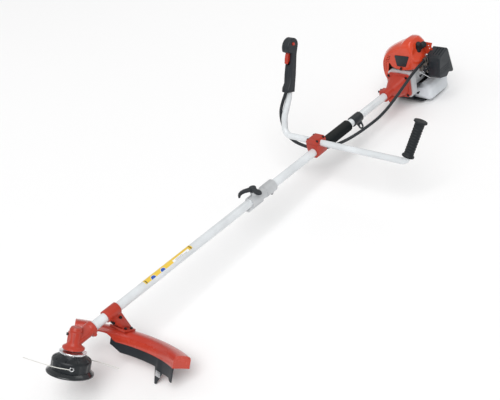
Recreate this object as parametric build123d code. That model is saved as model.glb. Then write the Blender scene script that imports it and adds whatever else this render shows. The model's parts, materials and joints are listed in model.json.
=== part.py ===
"""Petrol string trimmer with a split shaft, cow-horn handlebar and two-line head.

Machine axes while modelling: X to the machine's left, Y along the shaft from the
gear head to the engine, Z square to the shaft, all in millimetres. Their origin is
where the shaft line meets the spindle line. At the end every piece is moved to the
resting frame, in which the engine foot and the guard's leg stand on z = 0.
"""
from build123d import *
import math
import os

# ------------------------------------------------------------------ driving dimensions
tube_r = 14.0               # main tube, outside radius
tube_wall = 1.5
running = 0.05              # radial clearance of a shaft in its bearing or bush
slip = 0.08                 # radial clearance of the lower tube in the coupling
free_gap = 0.4              # clearance between pieces that only pass each other
spindle_tilt = 31.65        # degrees between the spindle and the shaft's normal

arm_end = 68.0              # stations along the shaft
bracket_start, bracket_end = 115.0, 162.0
coupling_start, coupling_end = 745.0, 862.0
tube_joint = 808.0          # the lower tube stops here in the coupling
bar_station = 1104.0
foam_start, foam_end = 1140.0, 1280.0
hanger_start, hanger_end = 1303.0, 1350.0
neck_station = 1505.0
flange_station = 1612.0
cylinder_station = 1678.0
recoil_start = 1726.0

drive_r = 4.0               # solid steel drive rod
square_side = 6.0           # square end of the lower rod
spindle_r = 6.0
pinion_teeth, gear_teeth = 14, 19
cone_outer, cone_inner = 21.0, 14.0     # cone distances of the bevel teeth

head_r = 55.0               # line head
head_top, head_floor = -37.0, -90.0
rim_r = 66.5
bump_travel = 6.0
line_r = 1.2
line_tip_r = 131.0

guard_centre = (124.0, -123.0)
guard_inner_r, guard_outer_r = 295.0, 345.0
guard_right, guard_left = 138.0, 67.0   # end angles of the guard, degrees
guard_top, guard_wall = 20.0, 2.5
skirt_low, leg_low = -44.0, -90.0

bar_r = 11.0
bar_wall = 1.5
bar_height = 30.0           # bar axis above the shaft axis

bore_r = 20.0               # engine
crank_r = 15.0
piston_crown = 92.0
foot_low = -92.0            # the foot's underside, below the shaft line
foot_front, foot_back = 1677.0, 1765.0
foot_half_width = 57.0

BOTTOM = (Align.CENTER, Align.CENTER, Align.MIN)

# ------------------------------------------------------------------ frames and helpers
head_frame = Plane(
    origin=(0, 0, 0),
    x_dir=(1, 0, 0),
    z_dir=(0, math.sin(math.radians(spindle_tilt)), math.cos(math.radians(spindle_tilt))),
)


def across(station):
    """Plane square to the shaft: local x is X, local y is Z, facing the gear head."""
    return Plane(origin=(0, station, 0), x_dir=(1, 0, 0), z_dir=(0, -1, 0))


def slab(profile, start, end):
    """A profile drawn in (X, Z), extruded from one station to another."""
    return extrude(across(end) * profile, end - start)


def side_slab(profile, x_low, x_high):
    """A profile drawn in (Y, Z), extruded from one X to another."""
    side = Plane(origin=(x_low, 0, 0), x_dir=(0, 1, 0), z_dir=(1, 0, 0))
    return extrude(side * profile, x_high - x_low)


def outline(*points):
    return make_face(Polyline(*points, close=True))


def disc(start, end, r, x=0.0, z=0.0):
    return slab(Pos(x, z) * Circle(r), start, end)


def ring(start, end, r_out, r_in, x=0.0, z=0.0):
    return disc(start, end, r_out, x, z) - disc(start, end, r_in, x, z)


def rod(a, b, r):
    """A round rod from point a to point b."""
    line = Vector(*b) - Vector(*a)
    return Plane(origin=a, z_dir=line).location * Cylinder(r, line.length, align=BOTTOM)


def spun(*points):
    """A profile of (radius, height) turned about the local Z axis."""
    return revolve(Plane.XZ * outline(*points), Axis.Z)


def post(r, low, high, x=0.0, y=0.0):
    """An upright cylinder in the local frame."""
    return Pos(x, y, low) * Cylinder(r, high - low, align=BOTTOM)


def screw(seat, direction, shank=12.0, r=2.5):
    """A socket cap screw whose head sits on seat and whose shank runs along direction."""
    head = Cylinder(1.7 * r, 2.0 * r, align=BOTTOM) - post(0.9 * r, 0.9 * r, 2.0 * r)
    body = Pos(0, 0, -shank) * Cylinder(r, shank, align=BOTTOM)
    return Plane(origin=seat, z_dir=-Vector(*direction)).location * (head + body)


def screw_hole(seat, direction, shank=12.0, r=2.5):
    """The room that a screw's shank takes."""
    bore = Pos(0, 0, -shank) * Cylinder(r, shank, align=BOTTOM)
    return Plane(origin=seat, z_dir=-Vector(*direction)).location * bore


# ------------------------------------------------------------------ bevel gears
tilt = math.radians(spindle_tilt)
shaft_angle = math.pi / 2 - tilt
pinion_cone = math.atan2(
    math.sin(shaft_angle), gear_teeth / pinion_teeth + math.cos(shaft_angle)
)
gear_cone = shaft_angle - pinion_cone
tooth_module = 2 * cone_outer * math.sin(pinion_cone) / pinion_teeth
addendum, dedendum = 0.65 * tooth_module, 1.15 * tooth_module
tooth_share = 0.34          # share of the pitch that a tooth takes, which leaves backlash


def bevel_teeth(teeth, cone, first):
    """Straight bevel teeth about Z with their apex at the origin, one centred at first."""
    height = cone_outer * math.cos(cone)
    tip = height * math.tan(cone + addendum / cone_outer)
    root = height * math.tan(cone - dedendum / cone_outer)
    pitch_r = cone_outer * math.sin(cone)
    pitch = 2 * math.pi / teeth
    half = 0.5 * tooth_share * pitch
    lean = math.tan(math.radians(20)) / pitch_r
    points = []
    for k in range(teeth):
        middle = math.radians(first) + k * pitch
        for r, spread in ((root, -1), (tip, -1), (tip, 1), (root, 1)):
            angle = middle + spread * (half + lean * (pitch_r - r))
            points.append((r * math.cos(angle), r * math.sin(angle)))
    near = cone_inner / cone_outer
    wide = Pos(0, 0, height) * outline(*points)
    slim = Pos(0, 0, near * height) * outline(*[(near * x, near * y) for x, y in points])
    return loft([slim, wide], ruled=True)


gear_height = cone_outer * math.cos(gear_cone)
pinion_height = cone_outer * math.cos(pinion_cone)
gear_hub_r = cone_outer * math.sin(gear_cone) * 0.75

parts = {}

# ------------------------------------------------------------------ line head (head frame)
spindle_end = -74.0
journal_r = 5.0
upper_bearing = (22.0, 31.0)
lower_bearing = (-17.0, -8.0)
spindle = post(spindle_r, spindle_end, upper_bearing[0]) + post(journal_r, upper_bearing[0], 31.0)
# A gap of the gear faces the pinion, which lies toward local +Y.
gear = bevel_teeth(gear_teeth, gear_cone, 90.0 + 180.0 / gear_teeth)
gear += post(gear_hub_r, gear_height, gear_height + 3.0)
parts["output_spindle"] = head_frame.location * (spindle + gear)

adapter = spun(
    (spindle_r, -20.0 - free_gap), (13, -20.0 - free_gap), (13, -25), (38, -25), (38, -32),
    (34, head_top), (spindle_r, head_top),
)
for k in range(10):
    adapter -= Rot(0, 0, 36 * k) * post(5.0, head_top, -30.0, 40.0, 0)
parts["head_adapter"] = head_frame.location * adapter

housing_wall = 3.0
rim_top = -80.0
head_housing = spun(
    (spindle_r, head_top), (34, head_top), (44, -42), (52, -46), (head_r, -50), (head_r, rim_top),
    (head_r - housing_wall, rim_top), (head_r - housing_wall, -51), (48, -51),
    (44, -49), (12, -49), (12, -58), (spindle_r, -58),
)
eyelet_angle = -37.0
eyelet_height = -62.0
for side in (0, 180):
    eyelet_bore = Rot(0, 0, eyelet_angle + side) * Pos(0, 0, eyelet_height) * Rot(0, 90, 0)
    head_housing -= eyelet_bore * post(5.0, 40, 70)
parts["head_housing"] = head_frame.location * head_housing

cover_hole_r = 33.0
parts["spool_cover"] = head_frame.location * spun(
    (head_r, rim_top), (rim_r, -87), (rim_r, head_floor), (cover_hole_r, head_floor),
    (cover_hole_r, -86), (48, -86), (51, rim_top),
)

eyelets = []
for side in (0, 180):
    seat = Rot(0, 0, eyelet_angle + side) * Pos(0, 0, eyelet_height) * Rot(0, 90, 0)
    eyelets.append(
        seat * (post(5.0, 51.5, 56.0) + post(6.5, 55.0, 57.0) - post(3.0, 51.0, 58.0))
    )
parts["line_eyelets"] = head_frame.location * Compound(children=eyelets)

# Each line leaves its eyelet, lies round the housing and leaves it at a tangent.
wrap_r = head_r + 3.6
tip_angle = -130.4
tangent_angle = tip_angle + math.degrees(math.acos(wrap_r / line_tip_r))


def polar(r, angle, height=0.0):
    return (r * math.cos(math.radians(angle)), r * math.sin(math.radians(angle)), height)


def line_run():
    middle = (eyelet_angle - 4 + tangent_angle) / 2
    wrap = ThreePointArc(
        polar(wrap_r, eyelet_angle - 4, eyelet_height),
        polar(wrap_r, middle, eyelet_height),
        polar(wrap_r, tangent_angle, eyelet_height),
    )
    straight = Line(wrap @ 1, polar(line_tip_r, tip_angle, eyelet_height))
    path = wrap + straight
    return sweep(Plane(origin=path @ 0, z_dir=path % 0) * Circle(line_r), path=path)


one_line = line_run()
parts["cutting_lines"] = head_frame.location * Compound(
    children=[one_line, Rot(0, 0, 180) * one_line]
)

spool_r = 46.0
spool_bore_r = spindle_r + 0.3
parts["line_spool"] = head_frame.location * spun(
    (spool_bore_r, -66), (spool_r, -66), (spool_r, -68), (24, -68), (24, -81), (spool_r, -81),
    (spool_r, -83), (spool_bore_r, -83),
)
knob_r = cover_hole_r - 1.5
bump_knob = spun((0, -83), (knob_r, -83), (knob_r, -96), (26, -103), (14, -106), (0, -106))
parts["bump_knob"] = head_frame.location * bump_knob

# ------------------------------------------------------------------ gear head
barrel_r = 18.5
flange_r = 31.0
arm_r = 18.5
bearing_r = 12.0
bearing_bore = journal_r + running
tube_socket = 42.0
barrel = spun(
    (0, -20), (flange_r, -20), (flange_r, -15), (barrel_r + 2, -9), (barrel_r, 0),
    (barrel_r - 1, 36), (barrel_r - 4, 42), (0, 43),
)
barrel_hollow = (
    post(spindle_r + 1.5, -21, -16) + post(14.0, *lower_bearing) + post(13.6, -8.5, 22.0)
    + post(11.0, *upper_bearing) + post(6.0, 30.5, 34.0)
)
arm = disc(0, arm_end, arm_r) + disc(arm_end - 12, arm_end, arm_r + 1.5)
arm_hollow = (
    disc(6.0, 23.5, 10.6) + disc(23.0, 39.0, bearing_r) + disc(38.5, tube_socket, 8.0)
    + disc(tube_socket, arm_end + 1, tube_r)
)
filler_direction = polar(1.0, -140.0)
filler_seat = head_frame.from_local_coords(
    Vector(*filler_direction) * (barrel_r + 1.0) + Vector(0, 0, 18))
filler_axis = head_frame.from_local_coords(-Vector(*filler_direction))
clamp_lug = rod((arm_r - 1.0, 58, -13), (4, 58, -19.5), 5.5)
gear_head = head_frame.location * barrel + arm + clamp_lug
gear_head -= head_frame.location * barrel_hollow + arm_hollow
filler_screw = (filler_seat, filler_axis, 6.0)
gear_head -= screw_hole(*filler_screw)
parts["gear_head_housing"] = gear_head

bearings = [
    head_frame.location * (post(14.0, *lower_bearing) - post(spindle_r + running, *lower_bearing)),
    head_frame.location * (post(11.0, *upper_bearing) - post(bearing_bore, *upper_bearing)),
    ring(23.5, 30.5, bearing_r, bearing_bore),
    ring(31.5, 38.5, bearing_r, bearing_bore),
]
parts["gear_head_bearings"] = Compound(children=bearings)

# ------------------------------------------------------------------ drive rods
pinion_frame = Plane(origin=(0, 0, 0), x_dir=(1, 0, 0), z_dir=(0, 1, 0))
# Local +Y of the pinion frame points down, so the mesh direction is -90 degrees.
pinion = bevel_teeth(pinion_teeth, pinion_cone, -90.0)
pinion += post(6.2, pinion_height, 23.0)
lower_rod_end = tube_joint - 6
lower_drive = (
    pinion_frame.location * pinion + disc(22.5, 39.5, journal_r) + disc(39.0, lower_rod_end, drive_r)
    + slab(Rectangle(square_side, square_side), lower_rod_end, lower_rod_end + 36)
)
parts["lower_drive_shaft"] = lower_drive

sleeve_start, sleeve_end = lower_rod_end + 5, lower_rod_end + 45
drum_start, drum_end = 1580.0, 1602.0
socket_side = square_side + 0.4
upper_drive = (
    disc(sleeve_start, sleeve_end, 8.0)
    - slab(Rectangle(socket_side, socket_side), sleeve_start, sleeve_end - 6)
    + disc(sleeve_end, drum_start + 3, drive_r)
)
parts["upper_drive_shaft"] = upper_drive

bush_length = 18.0
bush_bore = drive_r + running
tube_bore = tube_r - tube_wall
parts["lower_bushes"] = Compound(
    children=[ring(s, s + bush_length, tube_bore, bush_bore) for s in (140, 330, 520, 710)]
)
parts["upper_bushes"] = Compound(
    children=[ring(s, s + bush_length, tube_bore, bush_bore) for s in (900, 1085, 1270, 1455)]
    + [ring(1556, 1568, 9.0, bush_bore)]
)
parts["lower_tube"] = ring(tube_socket, tube_joint, tube_r, tube_bore)
upper_tube_start = tube_joint + 3
upper_tube_end = 1550.0
parts["upper_tube"] = ring(upper_tube_start, upper_tube_end, tube_r, tube_bore)

# ------------------------------------------------------------------ guard (head frame)
def guard_band(r_in, r_out, low, high, end_wall=0.0):
    """Part of a ring about the guard's centre, short of its two ends by end_wall degrees."""
    band = Circle(r_out) - Circle(r_in)
    reach = 2 * r_out
    left, right = guard_left + end_wall, guard_right - end_wall
    wedge = outline((0, 0), polar(reach, left)[:2], polar(reach, right)[:2])
    return Pos(*guard_centre, low) * extrude(band & wedge, high - low)


def front_cut(*points):
    """A profile drawn in (x, z) of the head frame, right through the guard."""
    return Pos(0, 400, 0) * extrude(Plane.XZ * outline(*points), 700)


wing_low = 3.0
wall_low = -16.0
far = 400.0
under_wing = front_cut((-far, -60), (-far, wing_low), (-25, wing_low), (5, wall_low), (5, -60))
hood = guard_band(guard_inner_r, guard_outer_r, wall_low, guard_top)
hood -= guard_band(
    guard_inner_r + guard_wall, guard_outer_r - guard_wall, wall_low - 1, guard_top - guard_wall,
    end_wall=0.5,
)
hood -= under_wing
skirt_r = guard_inner_r + guard_wall
skirt_wall = 3.0
leg_x = 157.0
skirt = guard_band(skirt_r, skirt_r + skirt_wall, leg_low, 6.0, end_wall=0.6)
skirt &= front_cut(
    (-12, 6), (-12, -26), (20, skirt_low), (leg_x - 8, skirt_low), (leg_x, leg_low),
    (leg_x + 7, leg_low), (leg_x + 28, skirt_low - 8), (leg_x + 62, skirt_low - 6),
    (leg_x + 70, skirt_low - 14), (leg_x + 84, skirt_low - 14), (leg_x + 84, 6),
)
parts["guard_skirt"] = head_frame.location * skirt

knife_thick = 1.6


def on_arc(r, x):
    """The y of the guard's arc of radius r at x, in the head frame."""
    return guard_centre[1] + math.sqrt(r**2 - (x - guard_centre[0]) ** 2)


knife_x = leg_x + 11.0
knife_turn = -math.degrees(math.asin((knife_x - guard_centre[0]) / skirt_r))
knife_seat = Pos(knife_x, on_arc(skirt_r, knife_x), -58) * Rot(0, 0, knife_turn)
knife = Pos(-11, -knife_thick - 0.5, -9) * Box(22, knife_thick, 16, align=(Align.MIN,) * 3)
parts["line_cutter"] = head_frame.location * (knife_seat * knife)

# bracket between the tube and the guard
guard_bolt_x = 24.0
pad_low, pad_high = guard_top, guard_top + 6.0
pad_front, pad_back = 150.0, 192.0
pad = Pos(0, (pad_front + pad_back) / 2, pad_low) * Box(64, pad_back - pad_front, 6, align=BOTTOM)
web = side_slab(
    outline((bracket_start + 3, -6), (bracket_end - 2, -6), (178, -78), (148, -62)), -15, 15
)
bracket = disc(bracket_start, bracket_end, tube_r + 4.5) + web + head_frame.location * pad
bracket -= disc(bracket_start - 1, bracket_end + 1, tube_r)
bracket -= head_frame.location * (Pos(0, 170, guard_top) * Box(300, 300, 60, align=(
    Align.CENTER, Align.CENTER, Align.MAX)))
pad_screws = []
for x in (-guard_bolt_x, guard_bolt_x):
    for y in (pad_front + 10, pad_back - 10):
        seat = head_frame.from_local_coords(Vector(x, y, pad_high))
        pad_screws.append((seat, head_frame.from_local_coords(Vector(0, 0, -1)), 6.0 + guard_wall))
bracket_screws = [((15, 124, -22), (-1, 0, 0), 9.0), ((15, 152, -22), (-1, 0, 0), 9.0)]
for fastener in pad_screws + bracket_screws:
    bracket -= screw_hole(*fastener)
parts["guard_bracket"] = bracket
hood = head_frame.location * hood
for seat, direction, shank in pad_screws:
    hood -= screw_hole(seat, direction, shank + 1)
parts["guard"] = hood
lower_screws = [filler_screw] + pad_screws + bracket_screws
parts["lower_screws"] = Compound(children=[screw(*s) for s in lower_screws])

# ------------------------------------------------------------------ coupling
coupling_r = 18.5
collar_r = 20.5
boss_station = 772.0
boss_top = 28.0
coupling = disc(coupling_start, coupling_end, coupling_r) + disc(815, coupling_end, collar_r)
coupling += side_slab(outline((728, -24), (800, -24), (806, -10), (745, -10), (728, -18)), -7, 7)
coupling += Pos(0, boss_station, 10) * Cylinder(11, boss_top - 10, align=BOTTOM)
coupling += Pos(0, 850, 0) * Rot(180, 0, 0) * Cylinder(7, 24, align=BOTTOM)
coupling -= disc(coupling_start - 25, tube_joint, tube_r + slip)
coupling -= disc(tube_joint - 1, upper_tube_start + 1, tube_bore)
coupling -= disc(upper_tube_start, coupling_end + 1, tube_r)
stud_r = 3.0
stud_low = tube_r + 1.0
coupling -= Pos(0, boss_station, stud_low - 2) * Cylinder(stud_r + slip, 30, align=BOTTOM)
coupling_screw_seat = (0, 850, -24)
coupling -= screw_hole(coupling_screw_seat, (0, 0, 1), 9.5)
parts["coupling_body"] = coupling

knob_low = boss_top + free_gap
knob_hub = post(9.0, knob_low, knob_low + 17) + post(stud_r, stud_low, knob_low + 1)
long_wing = Rot(0, 0, -120) * Pos(0, 0, knob_low + 5) * extrude(
    outline((0, -8), (38, -6), (52, 6), (56, 20), (49, 22), (42, 10), (30, 6), (0, 8)), 9
)
short_wing = Rot(0, 0, -16) * Pos(0, 0, knob_low + 5) * extrude(
    outline((0, -8), (30, -9), (46, -6), (50, 2), (42, 8), (28, 7), (0, 8)), 9
)
parts["coupling_knob"] = Pos(0, boss_station, 0) * (knob_hub + long_wing + short_wing)

# ------------------------------------------------------------------ handlebar
bar_right_x, bar_left_x = -137.0, 360.0
handle_foot = Vector(-132, 1160, 169)
handle_axis = Vector(0, 60, 166).normalized()
left_corner = Vector(bar_left_x, bar_station, bar_height)
grip_tip = Vector(396, 1160, 153.5)
grip_axis = (grip_tip - left_corner).normalized()
grip_foot = left_corner + grip_axis * 17
grip_length = (grip_tip - grip_foot).length
bar_points = [
    handle_foot + handle_axis * 70,
    handle_foot - handle_axis * 22,
    Vector(-146, 1128, 86),
    Vector(bar_right_x, bar_station, bar_height),
    left_corner,
    grip_tip - grip_axis * 8,
]
bar_path = FilletPolyline(*[tuple(p) for p in bar_points], radius=[90, 60, 30, 20])
bar_start = Plane(origin=bar_path @ 0, z_dir=bar_path % 0)
bar_section = bar_start * (Circle(bar_r) - Circle(bar_r - bar_wall))
parts["handlebar"] = sweep(bar_section, path=bar_path)

clamp_half = 25.0
clamp_front, clamp_back = bar_station - 23, bar_station + 23
split_gap = 0.5
clamp_base = slab(
    outline((-25, 8), (-21, -10), (-10, -20), (10, -20), (21, -10), (25, 8), (25, 29.5), (-25, 29.5)),
    clamp_front, clamp_back,
)
clamp_base -= disc(clamp_front - 1, clamp_back + 1, tube_r)
bar_bore = rod((-60, bar_station, bar_height), (60, bar_station, bar_height), bar_r)
clamp_base -= bar_bore
clamp_cap = slab(
    outline((-25, 30.5), (25, 30.5), (25, 38), (18, 47), (-18, 47), (-25, 38)),
    clamp_front, clamp_back,
)
clamp_cap -= bar_bore
cap_screw_top = 41.0
upper_screws = []
for x in (-19.5, 19.5):
    for s in (bar_station - 17, bar_station + 17):
        upper_screws.append(((x, s, cap_screw_top), (0, 0, -1), 24.0))
        clamp_cap -= Pos(x, s, cap_screw_top) * Cylinder(4.6, 12, align=BOTTOM)
for seat, direction, shank in upper_screws:
    clamp_base -= screw_hole(seat, direction, shank)
    clamp_cap -= screw_hole(seat, direction, shank)
parts["bar_clamp_base"] = clamp_base
parts["bar_clamp_cap"] = clamp_cap

grip_r = 16.0
grip_profile = [(bar_r, 0), (20, 0), (20, 6), (grip_r, 9)]
rib_pitch, ribs = 9.0, 10
for k in range(ribs):
    z = 14 + rib_pitch * k
    grip_profile += [(grip_r, z), (grip_r - 1.5, z + 1.5), (grip_r - 1.5, z + 3), (grip_r, z + 4.5)]
grip_profile += [(grip_r, grip_length - 9), (22, grip_length - 6), (22, grip_length), (0, grip_length),
                 (0, grip_length - 5), (bar_r, grip_length - 5)]
parts["left_grip"] = Plane(origin=grip_foot, z_dir=grip_axis).location * spun(*grip_profile)

# ------------------------------------------------------------------ throttle handle
# Handle frame: x to the machine's left, y rearward to the palm, z up the handle.
handle_frame = Plane(origin=handle_foot, x_dir=(1, 0, 0), z_dir=handle_axis)
handle_height = 186.0
handle_profile = make_face(
    Polyline((-22, 0), (-22, 14), (-13, 30), (-13, 60), (-10, 96), (-10, 132), (-28, 137))
    + ThreePointArc((-28, 137), (-30, 165), (-8, 185))
    + ThreePointArc((-8, 185), (14, 178), (20, 158))
    + Polyline((20, 158), (16, 130), (17, 60), (14, 0), (-22, 0))
)
half_width = 15.5
handle_solid = extrude(Plane(origin=(-half_width, 0, 0), x_dir=(0, 1, 0), z_dir=(1, 0, 0))
                       * handle_profile, 2 * half_width)
handle_solid = fillet(
    handle_solid.edges().filter_by(lambda e: abs(abs(e.center().X) - half_width) < 0.01), 5.0
)
bar_room = post(bar_r, -20, 70.5)
pivot = (-6.0, 146.0)
trigger_half = 5.0
trigger_room = extrude(
    Plane(origin=(-trigger_half - free_gap, 0, 0), x_dir=(0, 1, 0), z_dir=(1, 0, 0))
    * outline((-40, 92), (6, 92), (10, 120), (6, 152), (-16, 156), (-20, 140), (-40, 136)),
    2 * (trigger_half + free_gap),
)
lever_half = 4.5
lever_pivot = (8.0, 128.0)
lever_room = extrude(
    Plane(origin=(-lever_half - free_gap, 0, 0), x_dir=(0, 1, 0), z_dir=(1, 0, 0))
    * outline((11.5, 76), (40, 76), (40, 120), (26, 134), (3, 134), (3, 121), (11.5, 118)),
    2 * (lever_half + free_gap),
)
switch_room = Pos(0, 17, 158) * Box(9.0, 26, 17)
button_seat = (half_width, -8, 166)
button_r = 5.0
button_room = Pos(button_seat[0] - 8, button_seat[1], button_seat[2]) * Rot(0, 90, 0) * Cylinder(
    button_r + free_gap, 12, align=BOTTOM)
handle_solid -= bar_room + trigger_room + lever_room + switch_room + button_room
pin_r = 2.0
pins = [
    Pos(0, y, z) * Rot(0, 90, 0) * Cylinder(pin_r, 2 * half_width - 6)
    for y, z in (pivot, lever_pivot)
]
left_space = Box(60, 400, 600, align=(Align.MIN, Align.CENTER, Align.CENTER))
right_space = Box(60, 400, 600, align=(Align.MAX, Align.CENTER, Align.CENTER))
left_shell = (handle_solid & left_space) + pins
right_shell = (handle_solid & right_space) - pins
parts["handle_shell_left"] = handle_frame.location * left_shell
parts["handle_shell_right"] = handle_frame.location * right_shell

trigger = extrude(
    Plane(origin=(-trigger_half, 0, 0), x_dir=(0, 1, 0), z_dir=(1, 0, 0))
    * outline((-10, 150), (-2, 150), (0, 142), (-4, 124), (-12, 106), (-19, 97), (-24, 99),
              (-25, 112), (-23, 130), (-15, 140)),
    2 * trigger_half,
)
trigger -= Pos(0, *pivot) * Rot(0, 90, 0) * Cylinder(pin_r + running, 40)
parts["throttle_trigger"] = handle_frame.location * trigger

lever = extrude(
    Plane(origin=(-lever_half, 0, 0), x_dir=(0, 1, 0), z_dir=(1, 0, 0))
    * outline((4.2, 132), (12, 132), (21, 120), (22, 100), (19, 79), (16, 79), (15, 118), (4.2, 124)),
    2 * lever_half,
)
lever -= Pos(0, *lever_pivot) * Rot(0, 90, 0) * Cylinder(pin_r + running, 40)
parts["lock_lever"] = handle_frame.location * lever

switch = Pos(0, 14, 155) * Box(8.2, 18, 8) + Pos(0, 25, 155) * Box(8.2, 5, 5)
parts["stop_switch"] = handle_frame.location * switch
button = Pos(button_seat[0] - 4, button_seat[1], button_seat[2]) * Rot(0, 90, 0) * Cylinder(
    button_r, 8, align=BOTTOM)
parts["half_throttle_button"] = handle_frame.location * button

# ------------------------------------------------------------------ foam grip, hanger, conduit
parts["foam_grip"] = ring(foam_start, foam_end, 20.5, tube_r)

hanger_angle = -63.0
eye_r = 6.5
eye_distance = 31.0
eye_station = 1333.0
hanger_plane = Plane(
    origin=(0, eye_station, 0),
    x_dir=(math.cos(math.radians(hanger_angle)), 0, math.sin(math.radians(hanger_angle))),
    z_dir=(-math.sin(math.radians(hanger_angle)), 0, math.cos(math.radians(hanger_angle))),
)
tab_thick = 5.0
tab = Pos(0, 0, -tab_thick / 2) * extrude(
    outline((10, -15), (30, -10), (30, 10), (10, 15)) + Pos(eye_distance, 0) * Circle(10.5), tab_thick
)
hanger = ring(hanger_start, hanger_end, tube_r + 4, tube_r) + hanger_plane.location * tab
hanger -= disc(hanger_start - 1, hanger_end + 1, tube_r)
hanger -= hanger_plane.location * (Pos(eye_distance, 0, -10) * Cylinder(eye_r, 20, align=BOTTOM))
parts["harness_hanger"] = hanger

conduit_r = 5.5
conduit_points = [
    (-132, 1144.5, 174.5), (-149, 1126, 130), (-165, 1129, 84), (-156, 1122, 44), (-130, 1114, 15),
    (-100, 1117, -4), (-60, 1134, -24), (-28, 1166, -37), (4, 1208, -36), (35, 1250, -25),
    (56, 1309, -14), (67, 1396, -6), (72, 1494, 26), (76, 1566, 56), (80, 1624, 76), (82, 1661, 81),
]
radii = []
for before, here, after in zip(conduit_points, conduit_points[1:], conduit_points[2:]):
    run_in, run_out = Vector(*here) - Vector(*before), Vector(*after) - Vector(*here)
    turn = math.radians(run_in.get_angle(run_out))
    radii.append(0.45 * min(run_in.length, run_out.length) / math.tan(turn / 2))
print("conduit radii:", [round(r) for r in radii])
conduit_path = FilletPolyline(*conduit_points, radius=radii)
conduit_start = Plane(origin=conduit_path @ 0, z_dir=conduit_path % 0)
conduit = sweep(conduit_start * Circle(conduit_r), path=conduit_path)
print("conduit volume / (section x length):",
      round(conduit.volume / (math.pi * conduit_r**2 * conduit_path.length), 4))
parts["throttle_conduit"] = conduit

# ------------------------------------------------------------------ clutch housing
neck_r = 21.0
flange_profile = RectangleRounded(92, 86, 12)
clutch_body = disc(neck_station, 1550, neck_r)
clutch_body += loft([across(1545) * Circle(neck_r), across(1600) * RectangleRounded(84, 78, 24)])
clutch_body += slab(flange_profile, 1598, flange_station)
clutch_body += slab(Pos(24, -14) * Circle(8), neck_station + 2, 1532)
clutch_body += slab(Pos(-14, 12) * Rectangle(12, 12), neck_station + 1, 1535)
clutch_body -= disc(neck_station - 1, upper_tube_end, tube_r)
clutch_body -= disc(upper_tube_end - 1, drum_start, 9.0)
clutch_room_r = 27.5
clutch_body -= disc(drum_start - 2, flange_station + 1, clutch_room_r)
neck_lug_x, neck_lug_z = -20.0, 12.0
neck_screws = [((neck_lug_x, s, neck_lug_z), (1, 0, 0), 8.5) for s in (1513, 1527)]
flange_screws = [((x, 1600, n), (0, 1, 0), 22.0) for x in (-38, 38) for n in (-35, 35)]
for x, _, n in [s[0] for s in flange_screws]:
    clutch_body -= disc(1560, 1600, 5.2, x, n)
for seat, direction, shank in neck_screws + flange_screws:
    clutch_body -= screw_hole(seat, direction, shank)
parts["clutch_housing"] = clutch_body
drum_r = 26.0
parts["clutch_drum"] = (
    disc(drum_start, drum_start + 3, drum_r) + ring(drum_start, drum_end, drum_r, drum_r - 3)
    - disc(drum_start - 1, drum_start + 4, drive_r)
)

# ------------------------------------------------------------------ engine inside
shoe_r = drum_r - 3 - 1.2
shoes = disc(1585, 1600, shoe_r) - disc(1580, 1601, 9) - slab(Rectangle(70, 5), 1580, 1601)
shoes += slab(Rectangle(22, 12), 1586, 1598)
crank_journal_r = 7.0
shoes -= disc(1570, 1610, crank_journal_r)
parts["clutch_shoes"] = shoes
flywheel_start, flywheel_end = 1616.0, 1636.0
flywheel = disc(flywheel_start, flywheel_end, 42) - disc(flywheel_start, 1624, 36)
flywheel += disc(flywheel_start - 8, flywheel_start + 10, 14)
for k in range(12):
    fin = Pos(30, 0, 0) * Rot(0, 0, 20) * Rectangle(10, 2)
    flywheel += slab(Rot(0, 0, 30 * k) * fin, flywheel_start + 2, 1626)
flywheel -= disc(1600, flywheel_end + 1, crank_journal_r)
parts["flywheel"] = flywheel

crank_end = 1756.0
web_gap = 8.0
webs = cylinder_station
crank = disc(1585, webs - web_gap, crank_journal_r) + disc(webs + web_gap, crank_end, crank_journal_r)
for side in (-1, 1):
    low = min(webs + side * web_gap, webs + side * (web_gap + 7))
    crank += disc(low, low + 7, 22.5)
crank += disc(webs - web_gap, webs + web_gap, 5.0, 0, crank_r)
parts["crankshaft"] = crank

room_r = 25.0
case_half = 50.0
crankcase = slab(RectangleRounded(2 * case_half, 98, 14), flange_station, 1642)
crankcase += disc(1640, recoil_start, 36) + slab(Pos(0, 8) * Rectangle(66, 56), 1652, 1712)
crankcase += slab(Pos(0, -44) * Rectangle(60, 20), 1640, 1664)
crankcase -= disc(flange_station - 1, 1637.5, 44)
crankcase -= disc(webs - web_gap - 8, webs + web_gap + 8, room_r)
crankcase -= disc(flange_station, recoil_start + 1, crank_journal_r + running)
crankcase -= Pos(0, cylinder_station, 10) * Cylinder(bore_r, 40, align=BOTTOM)
case_top = 36.0
for seat, direction, shank in flange_screws:
    crankcase -= screw_hole(seat, direction, shank)
parts["crankcase"] = crankcase

head_top_z = 112.0
cylinder = Pos(0, cylinder_station, case_top) * Cylinder(bore_r + 4, head_top_z - case_top, align=BOTTOM)
fin_count, fin_pitch = 9, 7.5
for k in range(fin_count):
    cylinder += Pos(0, cylinder_station, case_top + 8 + fin_pitch * k) * Box(72, 66, 2.2)
cylinder += Pos(40, cylinder_station, 62) * Box(34, 30, 26)
cylinder += Pos(-38, cylinder_station, 62) * Box(22, 30, 26)
bore_height = piston_crown + 6 - case_top
cylinder -= Pos(0, cylinder_station, case_top - 1) * Cylinder(
    bore_r + running, bore_height, align=BOTTOM)
cylinder -= rod((-60, cylinder_station, 62), (-15, cylinder_station, 62), 8)
cylinder -= rod((15, cylinder_station, 62), (60, cylinder_station, 62), 8)
plug_r = 7.0
plug_foot = (8, cylinder_station, 96)
plug_tip = (28, cylinder_station, 126)
cylinder -= rod(plug_foot, plug_tip, plug_r)
parts["cylinder"] = cylinder
parts["spark_plug"] = rod(plug_foot, plug_tip, plug_r) + rod(
    (23.5, cylinder_station, 119.25), (27, cylinder_station, 124.5), 10
)
piston = Pos(0, cylinder_station, piston_crown - 30) * Cylinder(bore_r, 30, align=BOTTOM)
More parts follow.
